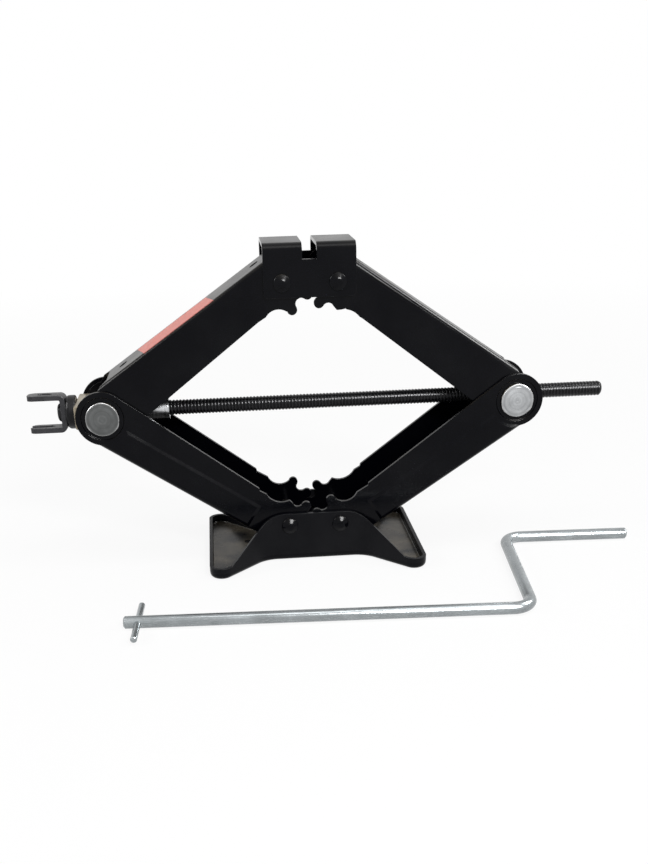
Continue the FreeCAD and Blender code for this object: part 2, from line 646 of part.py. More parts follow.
def rivet(label, grip):
    """Long rivet with a dome at each end; its heads bear on the outside of the grip."""
    body = new_body(label)
    shank, head = Sheet.rivet_diameter / 2, rivet_head / 2
    face, tip = grip / 2, grip / 2 + Sheet.rivet_dome
    brim = face + Sheet.rivet_brim
    crown, crown_round, brim_round = Sheet.rivet_crown, Sheet.rivet_crown_round, Sheet.rivet_brim_round
    profile = [(ZERO, -tip), (crown, -tip, crown_round), (head, -brim, brim_round), (head, -face),
               (shank, -face), (shank, face), (head, face), (head, brim, brim_round),
               (crown, tip, crown_round), (ZERO, tip)]
    sketch = draw_path(new_sketch(body, "profile_sketch", "XY_Plane"), profile)
    revolve(body, sketch, "turned", "V_Axis")
    return body


def trunnion(label, reach):
    """Cross block with round pin ends, bored for the screw."""
    body = new_body(label)
    pin = Sheet.pin_diameter / 2
    sketch = draw_circle(new_sketch(body, "pin_sketch", "XZ_Plane"), ZERO, ZERO, pin)
    pin_bar = pad(body, sketch, "pin_bar", pin_length)
    tip = pin_length.number / 2
    round_edges(body, pin_bar, "pin_edges", Sheet.pin_chamfer, lambda edge: (
        near(edge.BoundBox.YMax, edge.BoundBox.YMin) and near(abs(edge.BoundBox.YMax), tip)),
        "PartDesign::Chamfer")
    half, edge_round = Sheet.block_height / 2, Sheet.block_round
    sketch = new_sketch(body, "block_sketch", "XZ_Plane")
    draw_path(sketch, [(-reach, -half, edge_round), (Sheet.block_back, -half, edge_round),
                       (Sheet.block_back, half, edge_round), (-reach, half, edge_round)])
    pad(body, sketch, "block", block_width)
    sketch = draw_circle(new_sketch(body, "bore_sketch", "YZ_Plane"), ZERO, ZERO, bore_radius)
    pocket(body, sketch, "bore")
    return body


def turned(label, profile):
    """A piece turned about the screw's line, from a half section in x and radius."""
    body = new_body(label)
    sketch = draw_path(new_sketch(body, "profile_sketch", "XZ_Plane"), profile)
    revolve(body, sketch, "turned", "H_Axis")
    return body


def lead_screw(label):
    """Plain bar over the thread, its left end peened over inside the fork."""
    radius, end, chamfer = screw_radius, Sheet.screw_reach, Sheet.screw_chamfer
    peen, head = radius + Sheet.peen_spread, fork_back + Sheet.peen_height
    return turned(label, [(-head, ZERO), (-head, peen, Sheet.peen_height * ALMOST),
                          (-fork_back, peen), (-fork_back, radius),
                          (end - chamfer, radius), (end, radius - chamfer), (end, ZERO)])


def spacer_sleeve(label):
    outer = screw_radius + Sheet.sleeve_wall
    lip = outer + Sheet.sleeve_lip
    start, end = Sheet.block_back + Sheet.thrust_play, Sheet.sleeve_reach
    lip_start = end - Sheet.sleeve_lip_length
    return turned(label, [(start, screw_radius), (start, outer), (lip_start, outer),
                          (lip_start, lip), (end, lip), (end, screw_radius)])


def thrust_washer(label):
    outer = cup_inside - Sheet.washer_play
    return turned(label, [(-washer_face, bore_radius), (-washer_face, outer),
                          (-Sheet.block_reach, outer), (-Sheet.block_reach, bore_radius)])


def thrust_cup(label):
    """Cup pressed on the screw, over the balls and the washer."""
    rim = Sheet.block_reach + Sheet.cup_gap
    back = cup_back - Sheet.cup_wall
    inside_round = Sheet.cup_round - Sheet.cup_wall
    return turned(label, [(-cup_back, screw_radius), (-cup_back, cup_outside, Sheet.cup_round),
                          (-rim, cup_outside, Sheet.cup_rim_round), (-rim, cup_inside),
                          (-back, cup_inside, inside_round), (-back, screw_radius)])


def thrust_balls(label):
    """Ring of separate balls between the cup and the washer."""
    balls = []
    for n in range(ball_count):
        ball = doc.addObject("Part::Sphere", f"ball_{n + 1}")
        ball.setExpression("Radius", (Sheet.ball_diameter / 2).text)
        turn = as_size(HALF_TURN * 2 * n / ball_count)
        balls.append(put(ball, -ball_place, ball_ring * cosine(turn), ball_ring * sine(turn)))
    ring = doc.addObject("Part::Compound", label)
    ring.Label = label
    ring.Links = balls
    return ring


def drive_fork(label):
    """Flat bar bent to a U: a closed slot in its upper arm, an open slot in its lower arm."""
    body = new_body(label)
    inner, outer = Sheet.fork_gap / 2, Sheet.fork_gap / 2 + Sheet.fork_gauge
    bend = Sheet.fork_bend
    inside = bend - Sheet.fork_gauge
    profile = [(-cup_back, -outer, bend), (-cup_back, outer, bend), (-fork_tip, outer),
               (-fork_tip, inner), (-fork_back, inner, inside), (-fork_back, -inner, inside),
               (-fork_tip, -inner), (-fork_tip, -outer)]
    sketch = draw_path(new_sketch(body, "bar_sketch", "XZ_Plane"), profile)
    bar = pad(body, sketch, "bar", Sheet.fork_width)
    round_edges(body, bar, "tips", Sheet.fork_tip_round, lambda edge: (
        runs_along(edge, Z_AXIS) and near(edge.BoundBox.XMax, -fork_tip.number)))
    slot, side = -(fork_back + Sheet.fork_slot_back), Sheet.fork_slot_width / 2
    slot_round = side * ALMOST
    slot_end = [(slot, -side, slot_round), (slot, side, slot_round)]
    closed, beyond = slot - Sheet.fork_slot_length, -fork_tip - BEYOND
    sketch = new_sketch(body, "closed_slot_sketch", "XY_Plane")
    draw_path(sketch, [(closed, -side, slot_round), *slot_end, (closed, side, slot_round)])
    pocket(body, sketch, "closed_slot", symmetric=False, reverse=True)
    sketch = new_sketch(body, "open_slot_sketch", "XY_Plane")
    draw_path(sketch, [(beyond, -side), *slot_end, (beyond, side)])
    pocket(body, sketch, "open_slot", symmetric=False)
    sketch = draw_circle(new_sketch(body, "screw_hole_sketch", "YZ_Plane"), ZERO, ZERO, screw_radius)
    pocket(body, sketch, "screw_hole")
    return body


def crank_rod(label):
    """Round bar bent twice in one plane, lying flat."""
    body = new_body(label)
    turn = Sheet.crank_angle
    corner_x = Sheet.shaft_length + Sheet.throw_length * cosine(turn)
    corner_y = Sheet.throw_length * sine(turn)
    path = [(ZERO, ZERO), (Sheet.shaft_length, ZERO, Sheet.crank_bend),
            (corner_x, corner_y, Sheet.crank_bend), (corner_x + Sheet.grip_length, corner_y)]
    spine = draw_path(new_sketch(body, "path_sketch", "XY_Plane"), path, closed=False)
    radius = Sheet.rod_diameter / 2
    section = draw_circle(new_sketch(body, "section_sketch", "YZ_Plane"), ZERO, ZERO, radius)
    bar = body.newObject("PartDesign::AdditivePipe", "bar")
    bar.Profile = section
    bar.Spine = (spine, [])
    end = (corner_x + Sheet.grip_length).number
    round_edges(body, bar, "tips", Sheet.rod_chamfer, lambda edge: (
        near(edge.BoundBox.XMax, edge.BoundBox.XMin)
        and (near(edge.BoundBox.XMax, 0) or near(edge.BoundBox.XMax, end))),
        "PartDesign::Chamfer")
    sketch = new_sketch(body, "cross_hole_sketch", "XZ_Plane")
    draw_circle(sketch, Sheet.cross_pin_place, ZERO, Sheet.cross_pin_diameter / 2)
    pocket(body, sketch, "cross_hole", Sheet.rod_diameter * 2)
    return body


def crank_cross_pin(label):
    body = new_body(label)
    sketch = new_sketch(body, "section_sketch", "XZ_Plane")
    draw_circle(sketch, Sheet.cross_pin_place, ZERO, Sheet.cross_pin_diameter / 2)
    bar = pad(body, sketch, "bar", Sheet.cross_pin_length)
    round_edges(body, bar, "tips", Sheet.cross_pin_chamfer,
                lambda edge: near(edge.BoundBox.YMax, edge.BoundBox.YMin), "PartDesign::Chamfer")
    return body


tilt = Sheet.arm_angle.number
rivet_x = Sheet.gear_radius
base_z = base_rivet_height
top_z = saddle_rivet_height
left_pin = (-pin_reach, ZERO, pin_height)
right_pin = (pin_reach, ZERO, pin_height)
fork_roll = Rotation(X_AXIS, Sheet.fork_turn.number)
crank_place = (Sheet.crank_left, Sheet.crank_front, Sheet.rod_diameter / 2)
crank_turn = Rotation(Z_AXIS, Sheet.crank_turn.number)

nodes = [
    base_plate("base_plate"),
    put(rivet("base_rivet_left", base_outer), -rivet_x, ZERO, base_z),
    put(rivet("base_rivet_right", base_outer), rivet_x, ZERO, base_z),
    put(lower_arm("lower_arm_left"), -rivet_x, ZERO, base_z,
        Rotation(Y_AXIS, tilt) * Rotation(Z_AXIS, HALF_TURN)),
    put(lower_arm("lower_arm_right"), rivet_x, ZERO, base_z, Rotation(Y_AXIS, -tilt)),
    put(upper_arm("upper_arm_left"), -rivet_x, ZERO, top_z, Rotation(Y_AXIS, HALF_TURN - tilt)),
    put(upper_arm("upper_arm_right"), rivet_x, ZERO, top_z,
        Rotation(Y_AXIS, tilt) * Rotation(X_AXIS, HALF_TURN)),
    put(saddle("saddle"), ZERO, ZERO, top_z),
    put(rivet("saddle_rivet_left", saddle_outer), -rivet_x, ZERO, top_z),
    put(rivet("saddle_rivet_right", saddle_outer), rivet_x, ZERO, top_z),
    put(trunnion("thrust_trunnion", Sheet.block_reach), *left_pin),
    put(trunnion("nut_trunnion", Sheet.block_back), *right_pin),
    put(lead_screw("lead_screw"), *left_pin),
    put(spacer_sleeve("spacer_sleeve"), *left_pin),
    put(thrust_washer("thrust_washer"), *left_pin),
    put(thrust_cup("thrust_cup"), *left_pin),
    put(thrust_balls("thrust_balls"), *left_pin),
    put(drive_fork("drive_fork"), *left_pin, fork_roll),
    put(crank_rod("crank_rod"), *crank_place, crank_turn),
    put(crank_cross_pin("crank_cross_pin"), *crank_place, crank_turn),
]
doc.recompute()

for item in doc.Objects:
    if "Invalid" in item.State or "Error" in item.State:
        raise RuntimeError(f"{item.Name} ({item.Label}) failed: {item.State}")
for node in nodes:
    if node.Shape.isNull() or not node.Shape.isValid():
        raise RuntimeError(f"{node.Label} has no valid shape")

os.makedirs("parts", exist_ok=True)
for node in nodes:
    node.Shape.exportStep(f"parts/{node.Label}.step")
    print(f"{node.Label}: {len(node.Shape.Solids)} solid(s), {node.Shape.Volume:.1f} mm3")
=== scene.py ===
"""Dresses a scissor jack: black paint, plated pins and crank, a cut screw thread and a studio stage."""
import json
import math
from collections import namedtuple

import bmesh
import bpy
from bpy.props import FloatProperty, FloatVectorProperty, IntProperty, PointerProperty
from bpy.types import Operator, Panel, PropertyGroup
from mathutils import Matrix, Vector


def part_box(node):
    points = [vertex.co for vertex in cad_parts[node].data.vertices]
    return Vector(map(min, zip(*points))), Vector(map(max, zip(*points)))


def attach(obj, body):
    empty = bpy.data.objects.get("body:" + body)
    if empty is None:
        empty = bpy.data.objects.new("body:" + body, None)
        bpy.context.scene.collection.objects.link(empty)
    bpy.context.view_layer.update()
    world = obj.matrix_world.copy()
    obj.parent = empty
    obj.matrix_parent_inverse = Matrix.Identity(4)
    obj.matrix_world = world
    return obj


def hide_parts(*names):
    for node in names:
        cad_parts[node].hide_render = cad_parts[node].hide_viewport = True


bl_info = {
    "name": "Scissor Jack Dressing",
    "version": (1, 0, 0),
    "blender": (4, 5, 0),
    "location": "View3D > Sidebar > Jack",
    "description": "Paint, plating, thread and stage for a screw-driven scissor jack",
    "category": "Object",
}

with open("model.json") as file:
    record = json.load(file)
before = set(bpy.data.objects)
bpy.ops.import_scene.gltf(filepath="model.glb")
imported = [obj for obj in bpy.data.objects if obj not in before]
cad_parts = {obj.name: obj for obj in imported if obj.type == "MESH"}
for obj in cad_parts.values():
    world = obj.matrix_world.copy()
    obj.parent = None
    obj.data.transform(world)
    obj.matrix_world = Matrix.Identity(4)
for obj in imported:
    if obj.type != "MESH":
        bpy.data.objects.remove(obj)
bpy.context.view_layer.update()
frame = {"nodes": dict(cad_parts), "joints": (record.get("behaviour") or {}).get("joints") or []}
MM = 0.001

JOINT_PLACES = {joint["name"]: Vector(joint["pos_m"]) for joint in frame["joints"] if "pos_m" in joint}
LEFT_PIN = JOINT_PLACES["left_pin_pivot"]
RIGHT_PIN = JOINT_PLACES["right_pin_pivot"]
SADDLE_RIVET = JOINT_PLACES["saddle_pivot"]
SCREW_LOW, SCREW_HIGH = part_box("lead_screw")
SLEEVE_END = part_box("spacer_sleeve")[1].x
FORK_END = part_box("drive_fork")[1].x
# sheet of the fork; the screw's peened head ends at its inside
FORK_GAUGE = 3.5 * MM

PAINTED_NODES = (
    "base_rivet_left", "base_rivet_right", "lower_arm_left", "lower_arm_right", "upper_arm_left",
    "upper_arm_right", "saddle_rivet_left", "saddle_rivet_right",
)
TRUNNION_NODES = ("thrust_trunnion", "nut_trunnion")
BEARING_NODES = ("thrust_washer", "thrust_balls")
CRANK_NODES = ("crank_rod", "crank_cross_pin")


class JackPaintSettings(PropertyGroup):
    """Finish of the stamped and painted sheet."""

    colour: FloatVectorProperty(
        name="Paint", description="Colour of the black paint", subtype="COLOR",
        default=(0.0008, 0.0009, 0.002), min=0.0, max=1.0)
    worn_colour: FloatVectorProperty(
        name="Worn Edge", description="Colour where an edge is rubbed thin", subtype="COLOR",
        default=(0.09, 0.09, 0.095), min=0.0, max=1.0)
    dust_colour: FloatVectorProperty(
        name="Dust", description="Colour of the dust on faces that look up", subtype="COLOR",
        default=(0.21, 0.18, 0.13), min=0.0, max=1.0)
    roughness: FloatProperty(
        name="Roughness", description="Roughness of clean paint", subtype="FACTOR",
        default=0.13, min=0.0, max=1.0)
    gloss: FloatProperty(
        name="Gloss", description="Specular level of the paint", subtype="FACTOR",
        default=0.09, min=0.0, max=1.0)
    glaze: FloatProperty(
        name="Glaze", description="Clear gloss of the paint at a low angle", subtype="FACTOR",
        default=0.3, min=0.0, max=1.0)
    edge_radius: FloatProperty(
        name="Edge Radius", description="Round of a sheared and painted edge", unit="LENGTH",
        default=0.5 * MM, min=0.0)


class JackThreadSettings(PropertyGroup):
    """Sizes of the lead screw's thread."""

    diameter: FloatProperty(
        name="Diameter", description="Screw over its thread", unit="LENGTH", default=10.6 * MM, min=MM)
    pitch: FloatProperty(
        name="Pitch", description="Thread advance in one turn", unit="LENGTH",
        default=2.44 * MM, min=0.5 * MM)
    depth: FloatProperty(
        name="Depth", description="Crest to root of the thread", unit="LENGTH",
        default=0.45 * MM, min=0.1 * MM)
    chamfer: FloatProperty(
        name="Chamfer", description="Chamfer at the free end", unit="LENGTH", default=1.2 * MM, min=0.0)
    segments: IntProperty(
        name="Segments", description="Straight runs in one turn of the thread", default=32, min=8)
    colour: FloatVectorProperty(
        name="Black Oxide", description="Colour of the oiled black screw", subtype="COLOR",
        default=(0.004, 0.004, 0.005), min=0.0, max=1.0)


class JackPlatingSettings(PropertyGroup):
    """Colours of the bare, plated and blackened metal."""

    left_pin_colour: FloatVectorProperty(
        name="Left Pin", description="Colour of the left pin's oiled face", subtype="COLOR",
        default=(0.16, 0.165, 0.165), min=0.0, max=1.0)
    right_pin_colour: FloatVectorProperty(
        name="Right Pin", description="Colour of the right pin's bright face", subtype="COLOR",
        default=(0.42, 0.43, 0.44), min=0.0, max=1.0)
    rim_colour: FloatVectorProperty(
        name="Pin Rim", description="Colour of a pin's burnished rim", subtype="COLOR",
        default=(0.4, 0.4, 0.4), min=0.0, max=1.0)
    trunnion_colour: FloatVectorProperty(
        name="Trunnion", description="Colour of the plated trunnion blocks", subtype="COLOR",
        default=(0.34, 0.295, 0.22), min=0.0, max=1.0)
    sleeve_colour: FloatVectorProperty(
        name="Sleeve", description="Colour of the bright spacer sleeve", subtype="COLOR",
        default=(0.72, 0.73, 0.75), min=0.0, max=1.0)
    fork_colour: FloatVectorProperty(
        name="Fork", description="Colour of the dark phosphated fork", subtype="COLOR",
        default=(0.034, 0.034, 0.037), min=0.0, max=1.0)
    cup_colour: FloatVectorProperty(
        name="Cup", description="Colour of the black bearing cup", subtype="COLOR",
        default=(0.006, 0.006, 0.007), min=0.0, max=1.0)
    crank_colour: FloatVectorProperty(
        name="Crank", description="Colour of the zinc-plated crank", subtype="COLOR",
        default=(0.3, 0.325, 0.335), min=0.0, max=1.0)
    face_lift: FloatProperty(
        name="Pin Face", description="Turned face above the end of a pin", unit="LENGTH",
        default=0.5 * MM, min=0.05 * MM)
    face_radius: FloatProperty(
        name="Pin Face Radius", description="Radius of a pin's spread end", unit="LENGTH",
        default=11.7 * MM, min=MM)


class JackLabelSettings(PropertyGroup):
    """Plain film stuck on the web of the upper left arm."""

    colour: FloatVectorProperty(
        name="Film", description="Colour of the film round the bend", subtype="COLOR",
        default=(0.1, 0.012, 0.01), min=0.0, max=1.0)
    # painted sheen: the film's lighter colour where it faces up stands in for light falling from above
    painted_sheen_colour: FloatVectorProperty(
        name="Painted Film Sheen", description="Colour of the film where it faces up", subtype="COLOR",
        default=(0.72, 0.23, 0.19), min=0.0, max=1.0)
    start: FloatProperty(
        name="Start", description="Left pin to the label, along the arm", unit="LENGTH", default=46.8 * MM)
    end: FloatProperty(
        name="End", description="Left pin to the label's far end, along the arm", unit="LENGTH",
        default=107.9 * MM)
    start_skew: FloatProperty(
        name="Start Skew", description="Slope of the near end across the web", default=-0.237)
    end_skew: FloatProperty(
        name="End Skew", description="Slope of the far end across the web", default=-0.19)
    web_drop: FloatProperty(
        name="Web", description="Pivot line to the outside of the web", unit="LENGTH", default=17.9 * MM)
    back_edge: FloatProperty(
        name="Back Edge", description="Middle of the web to the film's back edge", unit="LENGTH",
        default=15.0 * MM)
    front_flat: FloatProperty(
        name="Front Flat", description="Middle of the web to the start of its front bend", unit="LENGTH",
        default=17.5 * MM)
    bend_radius: FloatProperty(
        name="Bend", description="Outside bend of the arm under the film", unit="LENGTH", default=4.0 * MM)
    wrap: FloatProperty(
        name="Wrap", description="How far the film goes round the front bend", subtype="ANGLE",
        default=math.radians(28.0))
    thickness: FloatProperty(
        name="Thickness", description="Film with its glue", unit="LENGTH", default=0.12 * MM)


class JackStageSettings(PropertyGroup):
    """Camera, floor and the soft light from all round."""

    camera_place: FloatVectorProperty(
        name="Camera", description="Place of the camera", subtype="TRANSLATION", unit="LENGTH",
        default=(-62.34 * MM, -730.65 * MM, 303.58 * MM))
    camera_yaw: FloatProperty(
        name="Yaw", description="Camera turned to the right", subtype="ANGLE", default=math.radians(4.35))
    camera_pitch: FloatProperty(
        name="Pitch", description="Camera tipped down", subtype="ANGLE", default=math.radians(27.76))
    camera_roll: FloatProperty(
        name="Roll", description="Camera rolled about its view", subtype="ANGLE", default=math.radians(-1.49))
    lens: FloatProperty(
        name="Lens", description="Focal length on a 36 mm frame", default=41.79, min=1.0)
    shift_right: FloatProperty(
        name="Shift Right", description="Picture moved across the frame, in long sides", default=0.02024)
    shift_up: FloatProperty(
        name="Shift Up", description="Picture moved up the frame, in long sides", default=0.23804)
    floor_colour: FloatVectorProperty(
        name="Floor", description="Colour of the plain floor", subtype="COLOR",
        default=(0.86, 0.86, 0.86), min=0.0, max=1.0)
    ambient: FloatProperty(
        name="Ambient", description="Strength of the soft light from all round", default=0.45, min=0.0)


SETTINGS = {
    "jack_paint": JackPaintSettings,
    "jack_thread": JackThreadSettings,
    "jack_plating": JackPlatingSettings,
    "jack_label": JackLabelSettings,
    "jack_stage": JackStageSettings,
}


# Node trees

def feed(tree, node, inputs):
    """Give each input its value, or a link where it is given another node's socket."""
    for name, value in inputs.items():
        if isinstance(value, bpy.types.NodeSocket):
            tree.links.new(value, node.inputs[name])
        else:
            node.inputs[name].default_value = value


def add(tree, kind, inputs=None, **settings):
    """A new node with its settings and inputs."""
    node = tree.nodes.new(kind)
    for name, value in settings.items():
        setattr(node, name, value)
    feed(tree, node, inputs or {})
    return node


def maths(tree, operation, first, second=0.0):
    return add(tree, "ShaderNodeMath", {0: first, 1: second}, operation=operation).outputs[0]


def fade(tree, value, low, high, start=0.0, end=1.0):
    """The value carried from one range to another, and held at its ends."""
    node = add(tree, "ShaderNodeMapRange", {
        "Value": value, "From Min": low, "From Max": high, "To Min": start, "To Max": end})
    return node.outputs["Result"]


def mix_colour(tree, factor, first, second):
    node = add(tree, "ShaderNodeMix", {0: factor, 6: first, 7: second}, data_type="RGBA")
    return node.outputs[2]


def object_place(tree):
    return add(tree, "ShaderNodeTexCoord").outputs["Object"]


def noise(tree, place, scale, detail=2.0, roughness=0.5):
    node = add(tree, "ShaderNodeTexNoise", {
        "Vector": place, "Scale": scale, "Detail": detail, "Roughness": roughness})
    return node.outputs["Fac"]


def opaque(colour, share=1.0):
    """The colour, or a darker share of it, with full alpha."""
    return (*[part * share for part in colour], 1.0)


def seen_directly(tree):
    """One where the camera, a reflection or a view through glass meets the surface, and else nought."""
    path = add(tree, "ShaderNodeLightPath").outputs
    bounced = maths(tree, "MAXIMUM", path["Is Glossy Ray"], path["Is Transmission Ray"])
    return maths(tree, "MAXIMUM", path["Is Camera Ray"], bounced)


def new_group(name, inputs, outputs):
    """An empty shader group with named sockets, and its input and output nodes."""
    tree = bpy.data.node_groups.new(name, "ShaderNodeTree")
    for label, default in inputs.items():
        kind = "NodeSocketVector" if isinstance(default, tuple) else "NodeSocketFloat"
        tree.interface.new_socket(label, in_out="INPUT", socket_type=kind).default_value = default
    for label, kind in outputs.items():
        tree.interface.new_socket(label, in_out="OUTPUT", socket_type=kind)
    return tree, tree.nodes.new("NodeGroupInput").outputs, tree.nodes.new("NodeGroupOutput").inputs


def place_group(tree, name, build, inputs):
    """The outputs of a shared group, which is built the first time that it is asked for."""
    group = bpy.data.node_groups.get(name) or build(name)
    return add(tree, "ShaderNodeGroup", inputs, node_tree=group).outputs


def build_worn_edges(name):
    """A rounded normal at sheared edges, and a broken mask of where they are rubbed."""
    tree, given, result = new_group(
        name, {"Edge Radius": 0.5 * MM, "Wear Scale": 90.0, "Wear Amount": 0.3},
        {"Edge": "NodeSocketFloat", "Normal": "NodeSocketVector"})
    rounded = add(tree, "ShaderNodeBevel", {"Radius": given["Edge Radius"]}, samples=6).outputs["Normal"]
    flat = add(tree, "ShaderNodeNewGeometry").outputs["Normal"]
    facing = add(tree, "ShaderNodeVectorMath", {0: rounded, 1: flat}, operation="DOT_PRODUCT")
    bend = fade(tree, facing.outputs["Value"], 0.985, 0.78)
    broken = fade(tree, noise(tree, object_place(tree), given["Wear Scale"], 4.0), 0.42, 0.62)
    tree.links.new(maths(tree, "MULTIPLY", maths(tree, "MULTIPLY", bend, broken), given["Wear Amount"]),
                   result["Edge"])
    tree.links.new(rounded, result["Normal"])
    return tree


def build_sprayed_coat(name):
    """The fine swell of a sprayed coat, and where hands and storage have dulled it."""
    tree, given, result = new_group(
        name, {"Peel Scale": 650.0, "Smudge Scale": 28.0},
        {"Height": "NodeSocketFloat", "Dulled": "NodeSocketFloat"})
    place = object_place(tree)
    tree.links.new(noise(tree, place, given["Peel Scale"], 1.5), result["Height"])
    smudge = noise(tree, place, given["Smudge Scale"], 5.0, 0.62)
    tree.links.new(fade(tree, smudge, 0.38, 0.68), result["Dulled"])
    return tree


def build_settled_dust(name):
    """Specks and a thin veil of dust on faces that look up."""
    tree, given, result = new_group(
        name, {"Amount": 0.1, "Grain": 900.0, "Specks": 1.0},
        {"Dust": "NodeSocketFloat", "Upward": "NodeSocketFloat"})
    normal = add(tree, "ShaderNodeNewGeometry").outputs["Normal"]
    height = add(tree, "ShaderNodeSeparateXYZ", {0: normal}).outputs["Z"]
    upward = fade(tree, height, 0.35, 0.95)
    place = object_place(tree)
    veil = fade(tree, noise(tree, place, 45.0, 4.0), 0.36, 0.66)
    specks = maths(tree, "MULTIPLY", fade(tree, noise(tree, place, given["Grain"], 0.0), 0.66, 0.74),
                   given["Specks"])
    cover = maths(tree, "MAXIMUM", maths(tree, "MULTIPLY", veil, 0.6), specks)
    settled = maths(tree, "MULTIPLY", upward, cover)
    tree.links.new(maths(tree, "MULTIPLY", settled, given["Amount"]), result["Dust"])
    tree.links.new(upward, result["Upward"])
    return tree


def build_turned_marks(name):
    """Fine rings or feed marks of a lathe, by the distance from a centre within a plane."""
    tree, given, result = new_group(
        name, {"Centre": (0.0, 0.0, 0.0), "Plane": (1.0, 0.0, 1.0), "Spacing": 0.5 * MM},
        {"Height": "NodeSocketFloat", "Tint": "NodeSocketFloat", "Reach": "NodeSocketFloat"})
    place = object_place(tree)
    away = add(tree, "ShaderNodeVectorMath", {0: place, 1: given["Centre"]}, operation="SUBTRACT").outputs[0]
    flat = add(tree, "ShaderNodeVectorMath", {0: away, 1: given["Plane"]}, operation="MULTIPLY").outputs[0]
    reach = add(tree, "ShaderNodeVectorMath", {0: flat}, operation="LENGTH").outputs["Value"]
    turns = maths(tree, "DIVIDE", reach, given["Spacing"])
    wave = maths(tree, "SINE", maths(tree, "MULTIPLY", turns, math.tau))
    bands = add(tree, "ShaderNodeTexNoise", {"W": turns, "Scale": 0.31, "Detail": 3.0},
                noise_dimensions="1D").outputs["Fac"]
    tree.links.new(maths(tree, "ADD", maths(tree, "MULTIPLY", wave, 0.25), bands), result["Height"])
    tree.links.new(fade(tree, bands, 0.3, 0.7), result["Tint"])
    tree.links.new(reach, result["Reach"])
    return tree


def build_plated_skin(name):
    """The cloudy tone, dull patches and fine pits of electroplated zinc."""
    tree, given, result = new_group(
        name, {"Cloud Scale": 60.0, "Pit Scale": 1400.0},
        {"Cloud": "NodeSocketFloat", "Dull": "NodeSocketFloat", "Height": "NodeSocketFloat"})
    place = object_place(tree)
    cloud = noise(tree, place, given["Cloud Scale"], 6.0, 0.6)
    tree.links.new(fade(tree, cloud, 0.35, 0.66), result["Cloud"])
    dull = noise(tree, place, maths(tree, "MULTIPLY", given["Cloud Scale"], 0.4), 4.0)
    tree.links.new(fade(tree, dull, 0.4, 0.65), result["Dull"])
    tree.links.new(noise(tree, place, given["Pit Scale"], 3.0), result["Height"])
    return tree


def build_rub_marks(name):
    """Thin scratches, stretched along one direction of the piece."""
    tree, given, result = new_group(
        name, {"Stretch": (1.0, 40.0, 40.0), "Scale": 30.0, "Amount": 0.5}, {"Scratch": "NodeSocketFloat"})
    place = add(tree, "ShaderNodeVectorMath", {0: object_place(tree), 1: given["Stretch"]},
                operation="MULTIPLY").outputs[0]
    lines = noise(tree, place, given["Scale"], 3.0, 0.7)
    off_middle = maths(tree, "ABSOLUTE", maths(tree, "SUBTRACT", lines, 0.5))
    thin = maths(tree, "SUBTRACT", 1.0, fade(tree, off_middle, 0.0, 0.025))
    tree.links.new(maths(tree, "MULTIPLY", thin, given["Amount"]), result["Scratch"])
    return tree


# Materials

# dust in the base's tray lies below this height
TRAY_DUST_TOP = 4.0 * MM


def new_material(name):
    """A material with its shader, ready for its inputs."""
    material = bpy.data.materials.new(name)
    material.use_nodes = True
    tree = material.node_tree
    return material, tree, tree.nodes["Principled BSDF"]


def bump(tree, height, strength, distance, normal=None):
    inputs = {"Strength": strength, "Distance": distance, "Height": height}
    if normal is not None:
        inputs["Normal"] = normal
    return add(tree, "ShaderNodeBump", inputs).outputs["Normal"]


def black_sheet_paint(name, settings, dust_amount, dulling, dust_top=None):
    """Semi-gloss black paint over stamped steel, duller where it looks up.

    Where the top of the dust is given, dust lies only below it, and the paint above it is duller.
    """
    material, tree, shader = new_material(name)
    edges = place_group(tree, "Worn Edges", build_worn_edges, {
        "Edge Radius": settings.edge_radius, "Wear Scale": 110.0, "Wear Amount": 0.3})
    coat = place_group(tree, "Sprayed Coat", build_sprayed_coat, {"Peel Scale": 650.0, "Smudge Scale": 26.0})
    dust = place_group(tree, "Settled Dust", build_settled_dust, {
        "Amount": dust_amount, "Grain": 800.0, "Specks": 0.3})
    settled, dulled = dust["Dust"], maths(tree, "MULTIPLY", dust["Upward"], dulling)
    if dust_top is not None:
        height = add(tree, "ShaderNodeSeparateXYZ", {0: object_place(tree)}).outputs["Z"]
        below = fade(tree, height, dust_top, dust_top + MM, 1.0, 0.0)
        settled = maths(tree, "MULTIPLY", settled, below)
        dulled = maths(tree, "MAXIMUM", dulled, fade(tree, below, 0.0, 1.0, 0.6, 0.0))
    painted = mix_colour(tree, settled, opaque(settings.colour), opaque(settings.dust_colour))
    normal = bump(tree, coat["Height"], strength=0.06, distance=0.2 * MM, normal=edges["Normal"])
    facing = add(tree, "ShaderNodeLayerWeight", {"Blend": 0.5, "Normal": normal}).outputs["Facing"]
    glaze = maths(tree, "MULTIPLY", fade(tree, facing, 0.42, 0.8, 0.0, settings.glaze),
                  maths(tree, "SUBTRACT", 1.0, dulled))
    sheen = fade(tree, coat["Dulled"], 0.0, 1.0, settings.roughness - 0.03, settings.roughness + 0.07)
    feed(tree, shader, {
        "Base Color": mix_colour(tree, edges["Edge"], painted, opaque(settings.worn_colour)),
        "Roughness": maths(tree, "ADD", sheen, maths(tree, "MULTIPLY", dulled, 0.5)),
        "Specular IOR Level": settings.gloss,
        "Coat Weight": maths(tree, "ADD", glaze, maths(tree, "MULTIPLY", coat["Dulled"], 0.05)),
        "Coat Roughness": 0.3,
        "Normal": normal})
    return material


